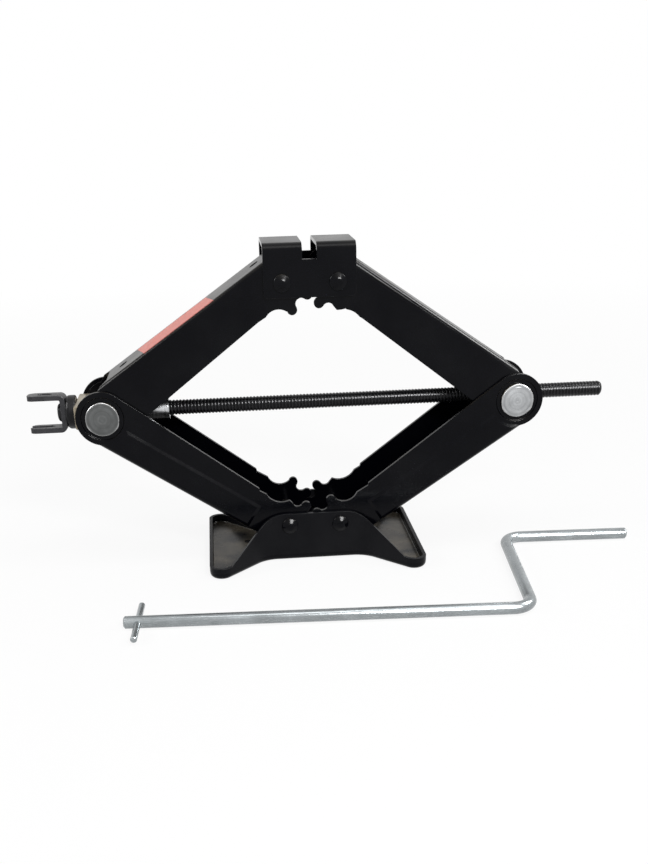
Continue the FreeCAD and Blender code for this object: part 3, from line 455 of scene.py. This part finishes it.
def black_oxide(settings):
    """Oiled black screw, rubbed brighter on the crests of its thread."""
    material, tree, shader = new_material("oiled_black_oxide")
    marks = place_group(tree, "Rub Marks", build_rub_marks, {
        "Stretch": (1.0, 12.0, 12.0), "Scale": 60.0, "Amount": 0.4})
    away = add(tree, "ShaderNodeVectorMath", {0: object_place(tree), 1: (0.0, *LEFT_PIN.yz)},
               operation="SUBTRACT").outputs[0]
    round_the_screw = add(tree, "ShaderNodeVectorMath", {0: away, 1: (0.0, 1.0, 1.0)},
                          operation="MULTIPLY").outputs[0]
    reach = add(tree, "ShaderNodeVectorMath", {0: round_the_screw}, operation="LENGTH").outputs["Value"]
    crest_radius = settings.diameter / 2
    rubbed_depth = 0.25 * MM
    rubbed_colour = (0.03, 0.03, 0.032)
    crest = fade(tree, reach, crest_radius - rubbed_depth, crest_radius)
    worn = maths(tree, "MULTIPLY", crest, maths(tree, "ADD", marks["Scratch"], 0.25))
    skin = place_group(tree, "Plated Skin", build_plated_skin, {"Cloud Scale": 120.0, "Pit Scale": 1800.0})
    feed(tree, shader, {
        "Base Color": mix_colour(tree, worn, opaque(settings.colour), opaque(rubbed_colour)),
        "Metallic": 0.25,
        "Specular IOR Level": 0.2,
        "Roughness": fade(tree, skin["Dull"], 0.0, 1.0, 0.16, 0.24),
        "Normal": bump(tree, skin["Height"], strength=0.06, distance=0.05 * MM)})
    return material


def turned_steel(name, colour, centre, plane, spacing, roughness, rim=None):
    """Lathe-turned bare or plated steel; the rim, if any, is a radius and the colour beyond it."""
    material, tree, shader = new_material(name)
    marks = place_group(tree, "Turned Marks", build_turned_marks, {
        "Centre": tuple(centre), "Plane": plane, "Spacing": spacing})
    skin = place_group(tree, "Plated Skin", build_plated_skin, {"Cloud Scale": 130.0, "Pit Scale": 1500.0})
    tone = mix_colour(tree, marks["Tint"], opaque(colour, 0.6), opaque(colour))
    stained = mix_colour(tree, maths(tree, "MULTIPLY", skin["Cloud"], 0.7), tone, opaque(colour, 0.5))
    if rim is not None:
        rim_radius, rim_colour = rim
        burnished_width = 0.7 * MM
        burnished = fade(tree, marks["Reach"], rim_radius - burnished_width, rim_radius)
        stained = mix_colour(tree, burnished, stained, opaque(rim_colour))
    feed(tree, shader, {
        "Base Color": stained,
        "Metallic": 1.0,
        "Roughness": fade(tree, skin["Dull"], 0.0, 1.0, roughness - 0.06, roughness + 0.08),
        "Normal": bump(tree, marks["Height"], strength=0.35, distance=0.04 * MM)})
    return material


def plated_block(settings):
    """Pale yellow plating on the trunnion blocks."""
    material, tree, shader = new_material("pale_yellow_plating")
    edges = place_group(tree, "Worn Edges", build_worn_edges, {
        "Edge Radius": 0.5 * MM, "Wear Scale": 150.0, "Wear Amount": 0.6})
    skin = place_group(tree, "Plated Skin", build_plated_skin, {"Cloud Scale": 85.0, "Pit Scale": 1300.0})
    rubbed_colour = (0.6, 0.58, 0.54)
    tone = mix_colour(tree, skin["Cloud"], opaque(settings.trunnion_colour),
                      opaque(settings.trunnion_colour, 0.7))
    feed(tree, shader, {
        "Base Color": mix_colour(tree, edges["Edge"], tone, opaque(rubbed_colour)),
        "Metallic": 0.75,
        "Roughness": fade(tree, skin["Dull"], 0.0, 1.0, 0.36, 0.52),
        "Normal": bump(tree, skin["Height"], strength=0.12, distance=0.05 * MM, normal=edges["Normal"])})
    return material


def dark_steel(name, colour, metallic, roughness, edge_radius):
    """Phosphated or blackened steel with rubbed edges."""
    material, tree, shader = new_material(name)
    edges = place_group(tree, "Worn Edges", build_worn_edges, {
        "Edge Radius": edge_radius, "Wear Scale": 160.0, "Wear Amount": 0.7})
    skin = place_group(tree, "Plated Skin", build_plated_skin, {"Cloud Scale": 95.0, "Pit Scale": 1100.0})
    dust = place_group(tree, "Settled Dust", build_settled_dust, {"Amount": 0.12, "Grain": 900.0})
    dust_colour = (0.2, 0.19, 0.18)
    rubbed_colour = (0.22, 0.22, 0.225)
    tone = mix_colour(tree, skin["Cloud"], opaque(colour), opaque(colour, 0.72))
    dusted = mix_colour(tree, dust["Dust"], tone, opaque(dust_colour))
    feed(tree, shader, {
        "Base Color": mix_colour(tree, edges["Edge"], dusted, opaque(rubbed_colour)),
        "Metallic": metallic,
        "Specular IOR Level": 0.2,
        "Roughness": fade(tree, skin["Dull"], 0.0, 1.0, roughness - 0.07, roughness + 0.1),
        "Normal": bump(tree, skin["Height"], strength=0.2, distance=0.06 * MM, normal=edges["Normal"])})
    return material


def greased_bearing_steel():
    """Ground and greased steel of the balls and the washer."""
    material, tree, shader = new_material("ground_bearing_steel")
    skin = place_group(tree, "Plated Skin", build_plated_skin, {"Cloud Scale": 300.0, "Pit Scale": 2500.0})
    ground_colour = (0.16, 0.16, 0.16)
    greased_colour = (0.1, 0.1, 0.1)
    feed(tree, shader, {
        "Base Color": mix_colour(tree, skin["Cloud"], opaque(ground_colour), opaque(greased_colour)),
        "Metallic": 1.0,
        "Roughness": fade(tree, skin["Dull"], 0.0, 1.0, 0.1, 0.2),
        "Normal": bump(tree, skin["Height"], strength=0.03, distance=0.02 * MM)})
    return material


def zinc_crank(settings):
    """Bright zinc over drawn bar, clouded and scratched from the workshop."""
    material, tree, shader = new_material("zinc_plated_bar")
    edges = place_group(tree, "Worn Edges", build_worn_edges, {
        "Edge Radius": 0.4 * MM, "Wear Scale": 160.0, "Wear Amount": 0.4})
    skin = place_group(tree, "Plated Skin", build_plated_skin, {"Cloud Scale": 48.0, "Pit Scale": 1300.0})
    marks = place_group(tree, "Rub Marks", build_rub_marks, {
        "Stretch": (1.0, 26.0, 26.0), "Scale": 38.0, "Amount": 0.35})
    scratch_colour = (0.6, 0.61, 0.62)
    rubbed_colour = (0.8, 0.8, 0.8)
    tone = mix_colour(tree, skin["Cloud"], opaque(settings.crank_colour), opaque(settings.crank_colour, 0.75))
    scratched = mix_colour(tree, marks["Scratch"], tone, opaque(scratch_colour))
    feed(tree, shader, {
        "Base Color": mix_colour(tree, edges["Edge"], scratched, opaque(rubbed_colour)),
        "Metallic": 0.7,
        "Roughness": fade(tree, skin["Dull"], 0.0, 1.0, 0.16, 0.26),
        "Normal": bump(tree, skin["Height"], strength=0.1, distance=0.05 * MM, normal=edges["Normal"])})
    return material


def label_film(settings):
    """Plain red film with a faint grain, and a painted sheen: a lighter colour where it faces up that stands
    in for light from above.
    """
    material, tree, shader = new_material("plain_red_film")
    coat = place_group(tree, "Sprayed Coat", build_sprayed_coat, {"Peel Scale": 900.0, "Smudge Scale": 60.0})
    normal = add(tree, "ShaderNodeNewGeometry").outputs["Normal"]
    upward = add(tree, "ShaderNodeSeparateXYZ", {0: normal}).outputs["Z"]
    cloudy = fade(tree, coat["Dulled"], 0.0, 1.0, 0.85, 1.0)
    # painted sheen: lighter film colour on faces that look up, standing in for light from above
    painted_sheen = maths(tree, "MULTIPLY", fade(tree, upward, 0.72, 0.82), cloudy)
    feed(tree, shader, {
        "Base Color": mix_colour(tree, painted_sheen, opaque(settings.colour), opaque(settings.painted_sheen_colour)),
        "Roughness": fade(tree, coat["Dulled"], 0.0, 1.0, 0.42, 0.54),
        "Specular IOR Level": 0.3,
        "Normal": bump(tree, coat["Height"], strength=0.08, distance=0.05 * MM)})
    return material


def dress(material, nodes):
    """Put one material on each of the named solids."""
    for node in nodes:
        solid = frame["nodes"][node]
        solid.data.materials.clear()
        solid.data.materials.append(material)


# Meshes

SHARP_ANGLE = math.radians(32.0)

# lead screw: run of its thread under the sleeve, drop at the corners of a crest, and welding distance
THREAD_UNDER_SLEEVE = 6.0 * MM
CREST_ROUND = 0.04 * MM
WELD = 0.002 * MM
# its peened head is flat over this share of its radius, and round from there in this many steps
HEAD_FLAT = 0.62
HEAD_STEPS = 6

# stake marks on a pin's face: the first, the step to the next and half of one's width, in degrees
FIRST_STAKE = 90.0
STAKE_STEP = 120.0
HALF_STAKE = 17.0
# their place as a share of the face's radius, and half of their length outwards
STAKE_PLACE = 0.87
STAKE_REACH = 0.75 * MM
# how far a stake pushes the rim out, the depth where that has died away, and its power towards the rim
RIM_PUSH = 0.35 * MM
RIM_PUSH_DEPTH = 1.0 * MM
RIM_PUSH_POWER = 6
# shares of the face's lift that a stake mark, the pip at the centre and the round of the rim take away
STAKE_DEPTH = 0.45
PIP_DEPTH = 0.2
RIM_DROP = 0.6
PIP_RADIUS = 1.2 * MM
RIM_WIDTH = 0.4 * MM
# rings that close the face below the pin's end: change of radius, and depth
RIM_TUCKS = ((0.0, 0.35 * MM), (-0.1 * MM, 0.5 * MM), (-0.35 * MM, 0.68 * MM))
FACE_RINGS = 44
FACE_SEGMENTS = 96

# label: gap to the paint under it, and its faces round the bend and along the arm
FILM_GAP = 0.02 * MM
FILM_BEND_STEPS = 8
FILM_STEPS = 16


def new_piece(name, work, material, body, replaced=()):
    """A mesh object from a bmesh, shaded smooth up to its sharp edges and riding on a body."""
    bmesh.ops.recalc_face_normals(work, faces=work.faces)
    mesh = bpy.data.meshes.new(name)
    work.to_mesh(mesh)
    work.free()
    mesh.shade_smooth()
    mesh.set_sharp_from_angle(angle=SHARP_ANGLE)
    mesh.materials.append(material)
    piece = bpy.data.objects.new(name, mesh)
    bpy.context.scene.collection.objects.link(piece)
    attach(piece, body)
    if replaced:
        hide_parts(*replaced)


def about_screw(x, radius, turn):
    """A point round the screw's line, by its place along the line, its radius and its angle."""
    return (x, LEFT_PIN.y + radius * math.cos(turn), LEFT_PIN.z + radius * math.sin(turn))


def turns_of(segments):
    """Even angles round a full turn."""
    return [math.tau * step / segments for step in range(segments)]


def add_lathe(work, profile, segments):
    """A closed shape turned about the screw's line; the profile is (x, radius) from end to end."""
    rings = []
    for x, radius in profile:
        if radius == 0.0:
            rings.append([work.verts.new(about_screw(x, 0.0, 0.0))] * segments)
        else:
            rings.append([work.verts.new(about_screw(x, radius, turn)) for turn in turns_of(segments)])
    for first, second in zip(rings, rings[1:]):
        for step in range(segments):
            after = (step + 1) % segments
            corners = [first[step], first[after], second[after], second[step]]
            work.faces.new(list(dict.fromkeys(corners)))


def thread_profile(settings):
    """One pitch of the thread as (share of the pitch, radius): root, flank, crest, flank."""
    crest = settings.diameter / 2
    root = crest - settings.depth
    return [(0.0, root), (0.28, root), (0.42, crest - CREST_ROUND), (0.46, crest),
            (0.82, crest), (0.86, crest - CREST_ROUND)]


def add_thread(work, start, end, settings):
    """A helical thread between two places on the screw, closed at both ends."""
    profile = thread_profile(settings)
    per_pitch, segments = len(profile), settings.segments
    pitches = math.ceil((end - start) / settings.pitch) + 2
    tip_radius = settings.diameter / 2 - settings.chamfer
    columns = []
    for step, turn in enumerate(turns_of(segments)):
        column = []
        for index in range(pitches * per_pitch):
            share, radius = profile[index % per_pitch]
            x = start + settings.pitch * (index // per_pitch - 1 + share + step / segments)
            x = min(max(x, start), end)
            radius = min(radius, tip_radius + min(x - start, end - x))
            column.append(work.verts.new(about_screw(x, radius, turn)))
        columns.append(column)
    count = pitches * per_pitch
    for step in range(segments):
        after = columns[(step + 1) % segments]
        shift = 0 if step + 1 < segments else per_pitch
        for index in range(count - 1 - shift):
            work.faces.new([columns[step][index + shift], columns[step][index + 1 + shift],
                            after[index + 1], after[index]])
    bmesh.ops.remove_doubles(work, verts=work.verts, dist=WELD)
    bmesh.ops.dissolve_degenerate(work, dist=WELD, edges=work.edges)
    bmesh.ops.holes_fill(work, edges=work.edges, sides=0)


def make_lead_screw(settings):
    """Peened head, plain journal and cut thread, in place of the plain bar."""
    material = black_oxide(settings)
    radius = settings.diameter / 2
    head_radius = (SCREW_HIGH.z - SCREW_LOW.z) / 2
    head_start = SCREW_LOW.x
    head_height = FORK_END - FORK_GAUGE - head_start
    thread_start = SLEEVE_END - THREAD_UNDER_SLEEVE
    work = bmesh.new()
    dome = []
    for step in range(HEAD_STEPS + 1):
        turn = math.pi / 2 * step / HEAD_STEPS
        share = HEAD_FLAT + (1.0 - HEAD_FLAT) * math.sin(turn)
        dome.append((head_start + head_height * (1 - math.cos(turn)), head_radius * share))
    profile = [(head_start, 0.0), *dome, (head_start + head_height, radius), (FORK_END, radius),
               (thread_start, radius), (thread_start, 0.0)]
    add_thread(work, thread_start, SCREW_HIGH.x, settings)
    add_lathe(work, profile, settings.segments * 2)
    new_piece("lead_screw_thread", work, material, "screw", ["lead_screw"])


def stake_share(turn):
    """How near an angle round a pin's face is to one of its three stake marks, from none to full."""
    around = (math.degrees(turn) - FIRST_STAKE) % STAKE_STEP
    around = min(around, STAKE_STEP - around)
    return max(0.0, 1.0 - (around / HALF_STAKE) ** 2)


def pin_face_height(reach, turn, radius, lift):
    """Height of a turned and staked pin face at a distance and an angle from its centre."""
    pip = PIP_DEPTH * lift * max(0.0, 1.0 - reach / PIP_RADIUS)
    across = abs(reach - radius * STAKE_PLACE) / STAKE_REACH
    stake = STAKE_DEPTH * lift * max(0.0, 1.0 - across) * stake_share(turn)
    edge = max(0.0, (reach - radius + RIM_WIDTH) / RIM_WIDTH)
    return lift - pip - stake - RIM_DROP * lift * edge ** 2


def make_pin_face(name, node, centre, side, body, material, settings):
    """A turned face on one end of a trunnion pin, with a centre mark and three stakes that spread its rim."""
    low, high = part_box(node)
    end = high.y if side > 0 else low.y
    radius, lift = settings.face_radius, settings.face_lift
    turns = turns_of(FACE_SEGMENTS)
    pushes = [RIM_PUSH * stake_share(turn) for turn in turns]
    rows = []
    for ring in range(1, FACE_RINGS + 1):
        share = ring / FACE_RINGS
        rows.append([((radius + push * share ** RIM_PUSH_POWER) * share,
                      pin_face_height(radius * share, turn, radius, lift))
                     for turn, push in zip(turns, pushes)])
    for inset, depth in RIM_TUCKS:
        rows.append([(radius + inset + push * (1.0 - depth / RIM_PUSH_DEPTH), -depth) for push in pushes])
    work = bmesh.new()
    middle = work.verts.new((centre.x, end + side * pin_face_height(0.0, 0.0, radius, lift), centre.z))
    previous = None
    for row in rows:
        current = []
        for turn, (reach, height) in zip(turns, row):
            current.append(work.verts.new((centre.x + reach * math.cos(turn), end + side * height,
                                           centre.z + reach * math.sin(turn))))
        for step in range(FACE_SEGMENTS):
            after = (step + 1) % FACE_SEGMENTS
            if previous is None:
                work.faces.new([middle, current[step], current[after]])
            else:
                work.faces.new([previous[step], current[step], current[after], previous[after]])
        previous = current
    work.faces.new(previous)
    new_piece(name, work, material, body)


def make_label(settings):
    """A thin plain film, cut askew, on the web of the upper left arm and round its front bend."""
    along = (SADDLE_RIVET - LEFT_PIN).normalized()
    out = Vector((-along.z, 0.0, along.x))
    across = Vector((0.0, 1.0, 0.0))

    def section(lift):
        bend = settings.bend_radius + lift
        points = [(settings.back_edge, settings.web_drop + lift)]
        for step in range(FILM_BEND_STEPS + 1):
            turn = settings.wrap * step / FILM_BEND_STEPS
            points.append((-settings.front_flat - bend * math.sin(turn),
                           settings.web_drop - settings.bend_radius + bend * math.cos(turn)))
        return points

    outline = section(settings.thickness) + section(FILM_GAP)[::-1]
    work = bmesh.new()
    loops = []
    for step in range(FILM_STEPS + 1):
        share = step / FILM_STEPS
        loop = []
        for y, height in outline:
            first = settings.start + settings.start_skew * y
            last = settings.end + settings.end_skew * y
            origin = LEFT_PIN + along * (first + (last - first) * share)
            loop.append(work.verts.new(origin + across * y + out * height))
        loops.append(loop)
    count = len(outline)
    for first, second in zip(loops, loops[1:]):
        for index in range(count):
            after = (index + 1) % count
            work.faces.new([first[index], first[after], second[after], second[index]])
    half = count // 2
    for loop in (loops[0], loops[-1]):
        for index in range(half - 1):
            work.faces.new([loop[index], loop[index + 1], loop[count - 2 - index], loop[count - 1 - index]])
    new_piece("plain_label", work, label_film(settings), "upper_left")


# Stage

# lengths are in metres and powers in watts; a lamp that isn't diffuse shows only in gloss and metal
Lamp = namedtuple("Lamp", "name place size power diffuse glossy shaded", defaults=(True, True, ()))
LAMPS = (
    Lamp("key_lamp", (0.42, -1.25, 0.95), (0.36, 0.25), 11.0, glossy=False),
    Lamp("left_lamp", (-1.4, -0.2, 0.75), (0.3, 0.3), 5.0),
    Lamp("right_lamp", (1.3, -0.2, 1.0), (0.3, 0.4), 4.0),
    Lamp("top_lamp", (0.15, -0.4, 1.6), (0.8, 0.5), 5.0),
    Lamp("front_box", (0.5, -1.16, 0.97), (0.72, 0.6), 72.0, diffuse=False, shaded=("saddle",)),
    Lamp("left_box", (-1.25, -0.1, 1.0), (0.45, 0.45), 14.0, diffuse=False),
    Lamp("right_box", (1.2, 0.12, 1.05), (0.5, 0.5), 30.0, diffuse=False),
)
LAMP_TARGET = Vector((0.0, 0.0, 0.1))

FLOOR_RADIUS = 6.0
FLOOR_SEGMENTS = 64
FLOOR_DROP = 0.1 * MM
# the floor is this share of white up to the first reach from the jack, and all white from the second
FLOOR_WHITE = 0.88
FLOOR_FADE = (0.35, 1.4)

# frame width that the lens is given for, in millimetres, and the nearest thing that the camera sees
FRAME_WIDTH = 36.0
CLIP_START = 10.0 * MM


def make_floor(settings):
    """A pale disc that fades to the white of the background and keeps the jack's shadow."""
    work = bmesh.new()
    bmesh.ops.create_circle(work, cap_ends=True, radius=FLOOR_RADIUS, segments=FLOOR_SEGMENTS)
    mesh = bpy.data.meshes.new("floor")
    work.to_mesh(mesh)
    work.free()
    floor = bpy.data.objects.new("floor", mesh)
    floor.location.z = -FLOOR_DROP
    bpy.context.scene.collection.objects.link(floor)
    material, tree, shader = new_material("pale_floor")
    reach = add(tree, "ShaderNodeVectorMath", {0: object_place(tree)}, operation="LENGTH").outputs["Value"]
    white = add(tree, "ShaderNodeEmission", {"Color": (1.0, 1.0, 1.0, 1.0), "Strength": 1.0})
    grain = fade(tree, noise(tree, object_place(tree), 40.0, 4.0), 0.3, 0.7)
    feed(tree, shader, {
        "Base Color": mix_colour(tree, grain, opaque(settings.floor_colour),
                                 opaque(settings.floor_colour, 0.985)),
        "Roughness": 0.9,
        "Specular IOR Level": 0.1})
    factor = maths(tree, "MULTIPLY", seen_directly(tree), fade(tree, reach, *FLOOR_FADE, FLOOR_WHITE, 1.0))
    mixed = add(tree, "ShaderNodeMixShader", {0: factor, 1: shader.outputs[0], 2: white.outputs[0]})
    tree.links.new(mixed.outputs[0], tree.nodes["Material Output"].inputs["Surface"])
    mesh.materials.append(material)


def make_world(settings):
    """Even soft light; the camera and reflections see a plain white background."""
    world = bpy.data.worlds.new("studio")
    bpy.context.scene.world = world
    world.use_nodes = True
    tree = world.node_tree
    feed(tree, tree.nodes["Background"], {
        "Color": (1.0, 1.0, 1.0, 1.0),
        "Strength": fade(tree, seen_directly(tree), 0.0, 1.0, settings.ambient, 1.0)})


def make_lamp(lamp):
    """A soft box that points at the jack; the nodes that a flag shades from it don't get its light."""
    light = bpy.data.lights.new(lamp.name, "AREA")
    light.shape = "RECTANGLE"
    light.size, light.size_y = lamp.size
    light.energy = lamp.power
    rig = bpy.data.objects.new(lamp.name, light)
    rig.location = lamp.place
    rig.rotation_euler = (LAMP_TARGET - Vector(lamp.place)).to_track_quat("-Z", "Y").to_euler()
    rig.visible_diffuse = lamp.diffuse
    rig.visible_glossy = lamp.glossy
    bpy.context.scene.collection.objects.link(rig)
    if lamp.shaded:
        flag = bpy.data.collections.new(lamp.name + "_flag")
        rig.light_linking.receiver_collection = flag
        for node in lamp.shaded:
            flag.objects.link(frame["nodes"][node])
        for entry in flag.collection_objects:
            entry.light_linking.link_state = "EXCLUDE"


def make_camera(settings):
    """The camera of the picture, set by its place, its turns and its lens."""
    data = bpy.data.cameras.new("camera")
    data.sensor_width = FRAME_WIDTH
    data.lens = settings.lens
    data.shift_x, data.shift_y = settings.shift_right, settings.shift_up
    data.clip_start = CLIP_START
    camera = bpy.data.objects.new("camera", data)
    camera.matrix_world = (
        Matrix.Translation(settings.camera_place)
        @ Matrix.Rotation(-settings.camera_yaw, 4, "Z")
        @ Matrix.Rotation(math.pi / 2 - settings.camera_pitch, 4, "X")
        @ Matrix.Rotation(settings.camera_roll, 4, "Z"))
    bpy.context.scene.collection.objects.link(camera)
    bpy.context.scene.camera = camera


class JACK_OT_paint_stampings(Operator):
    """Paint the base, the arms, the saddle and the rivets"""

    bl_idname = "jack.paint_stampings"
    bl_label = "Paint Stampings"

    def execute(self, context):
        settings = context.scene.jack_paint
        arm_paint = black_sheet_paint("black_arm_paint", settings, dust_amount=0.14, dulling=0.45)
        saddle_paint = black_sheet_paint("black_saddle_paint", settings, dust_amount=0.05, dulling=0.3)
        base_paint = black_sheet_paint("dusty_base_paint", settings, dust_amount=0.75, dulling=0.25,
                                       dust_top=TRAY_DUST_TOP)
        dress(arm_paint, PAINTED_NODES)
        dress(saddle_paint, ["saddle"])
        dress(base_paint, ["base_plate"])
        return {"FINISHED"}


class JACK_OT_cut_screw(Operator):
    """Make the lead screw with its cut thread"""

    bl_idname = "jack.cut_screw"
    bl_label = "Cut Screw"

    def execute(self, context):
        make_lead_screw(context.scene.jack_thread)
        return {"FINISHED"}


class JACK_OT_plate_trunnions(Operator):
    """Plate the trunnion blocks and turn the faces of their pins"""

    bl_idname = "jack.plate_trunnions"
    bl_label = "Plate Trunnions"

    def execute(self, context):
        settings = context.scene.jack_plating
        dress(plated_block(settings), TRUNNION_NODES)
        ends = [("left", "thrust_trunnion", LEFT_PIN, "left_trunnion", settings.left_pin_colour),
                ("right", "nut_trunnion", RIGHT_PIN, "right_trunnion", settings.right_pin_colour)]
        for hand, node, centre, body, colour in ends:
            material = turned_steel(f"turned_pin_{hand}", colour, centre, plane=(1.0, 0.0, 1.0),
                                    spacing=0.55 * MM, roughness=0.34,
                                    rim=(settings.face_radius, settings.rim_colour))
            for place, side in (("front", -1), ("back", 1)):
                make_pin_face(f"pin_face_{hand}_{place}", node, centre, side, body, material, settings)
        return {"FINISHED"}


class JACK_OT_finish_drive(Operator):
    """Finish the fork, the bearing and the spacer sleeve"""

    bl_idname = "jack.finish_drive"
    bl_label = "Finish Drive"

    def execute(self, context):
        settings = context.scene.jack_plating
        fork_steel = dark_steel("phosphated_fork", settings.fork_colour, metallic=0.4, roughness=0.42,
                                edge_radius=0.6 * MM)
        cup_steel = dark_steel("blackened_cup", settings.cup_colour, metallic=0.3, roughness=0.34,
                               edge_radius=0.4 * MM)
        sleeve_steel = turned_steel("bright_sleeve", settings.sleeve_colour, LEFT_PIN, plane=(1.0, 0.0, 0.0),
                                    spacing=0.4 * MM, roughness=0.24)
        dress(fork_steel, ["drive_fork"])
        dress(cup_steel, ["thrust_cup"])
        dress(sleeve_steel, ["spacer_sleeve"])
        dress(greased_bearing_steel(), BEARING_NODES)
        return {"FINISHED"}


class JACK_OT_plate_crank(Operator):
    """Plate the crank and its cross pin"""

    bl_idname = "jack.plate_crank"
    bl_label = "Plate Crank"

    def execute(self, context):
        dress(zinc_crank(context.scene.jack_plating), CRANK_NODES)
        return {"FINISHED"}


class JACK_OT_stick_label(Operator):
    """Stick the plain red film on the upper left arm"""

    bl_idname = "jack.stick_label"
    bl_label = "Stick Label"

    def execute(self, context):
        make_label(context.scene.jack_label)
        return {"FINISHED"}


class JACK_OT_build_stage(Operator):
    """Set up the floor, the background, the lamps and the camera"""

    bl_idname = "jack.build_stage"
    bl_label = "Build Stage"

    def execute(self, context):
        settings = context.scene.jack_stage
        context.scene.view_settings.view_transform = "Standard"
        make_floor(settings)
        make_world(settings)
        for lamp in LAMPS:
            make_lamp(lamp)
        make_camera(settings)
        return {"FINISHED"}


STEPS = (
    JACK_OT_paint_stampings, JACK_OT_cut_screw, JACK_OT_plate_trunnions, JACK_OT_finish_drive,
    JACK_OT_plate_crank, JACK_OT_stick_label, JACK_OT_build_stage,
)


class JACK_PT_dressing(Panel):
    """Lists the steps that dress the jack"""

    bl_label = "Scissor Jack"
    bl_idname = "JACK_PT_dressing"
    bl_space_type = "VIEW_3D"
    bl_region_type = "UI"
    bl_category = "Jack"

    def draw(self, context):
        for step in STEPS:
            self.layout.operator(step.bl_idname)
        for name, group in SETTINGS.items():
            box = self.layout.box()
            for setting in group.__annotations__:
                box.prop(getattr(context.scene, name), setting)


CLASSES = (*SETTINGS.values(), *STEPS, JACK_PT_dressing)


def register():
    for entry in CLASSES:
        bpy.utils.register_class(entry)
    for name, group in SETTINGS.items():
        setattr(bpy.types.Scene, name, PointerProperty(type=group))


def unregister():
    for name in SETTINGS:
        delattr(bpy.types.Scene, name)
    for entry in reversed(CLASSES):
        bpy.utils.unregister_class(entry)


def main():
    register()
    bpy.ops.jack.paint_stampings()
    bpy.ops.jack.cut_screw()
    bpy.ops.jack.plate_trunnions()
    bpy.ops.jack.finish_drive()
    bpy.ops.jack.plate_crank()
    bpy.ops.jack.stick_label()
    bpy.ops.jack.build_stage()


if __name__ == "__main__":
    main()
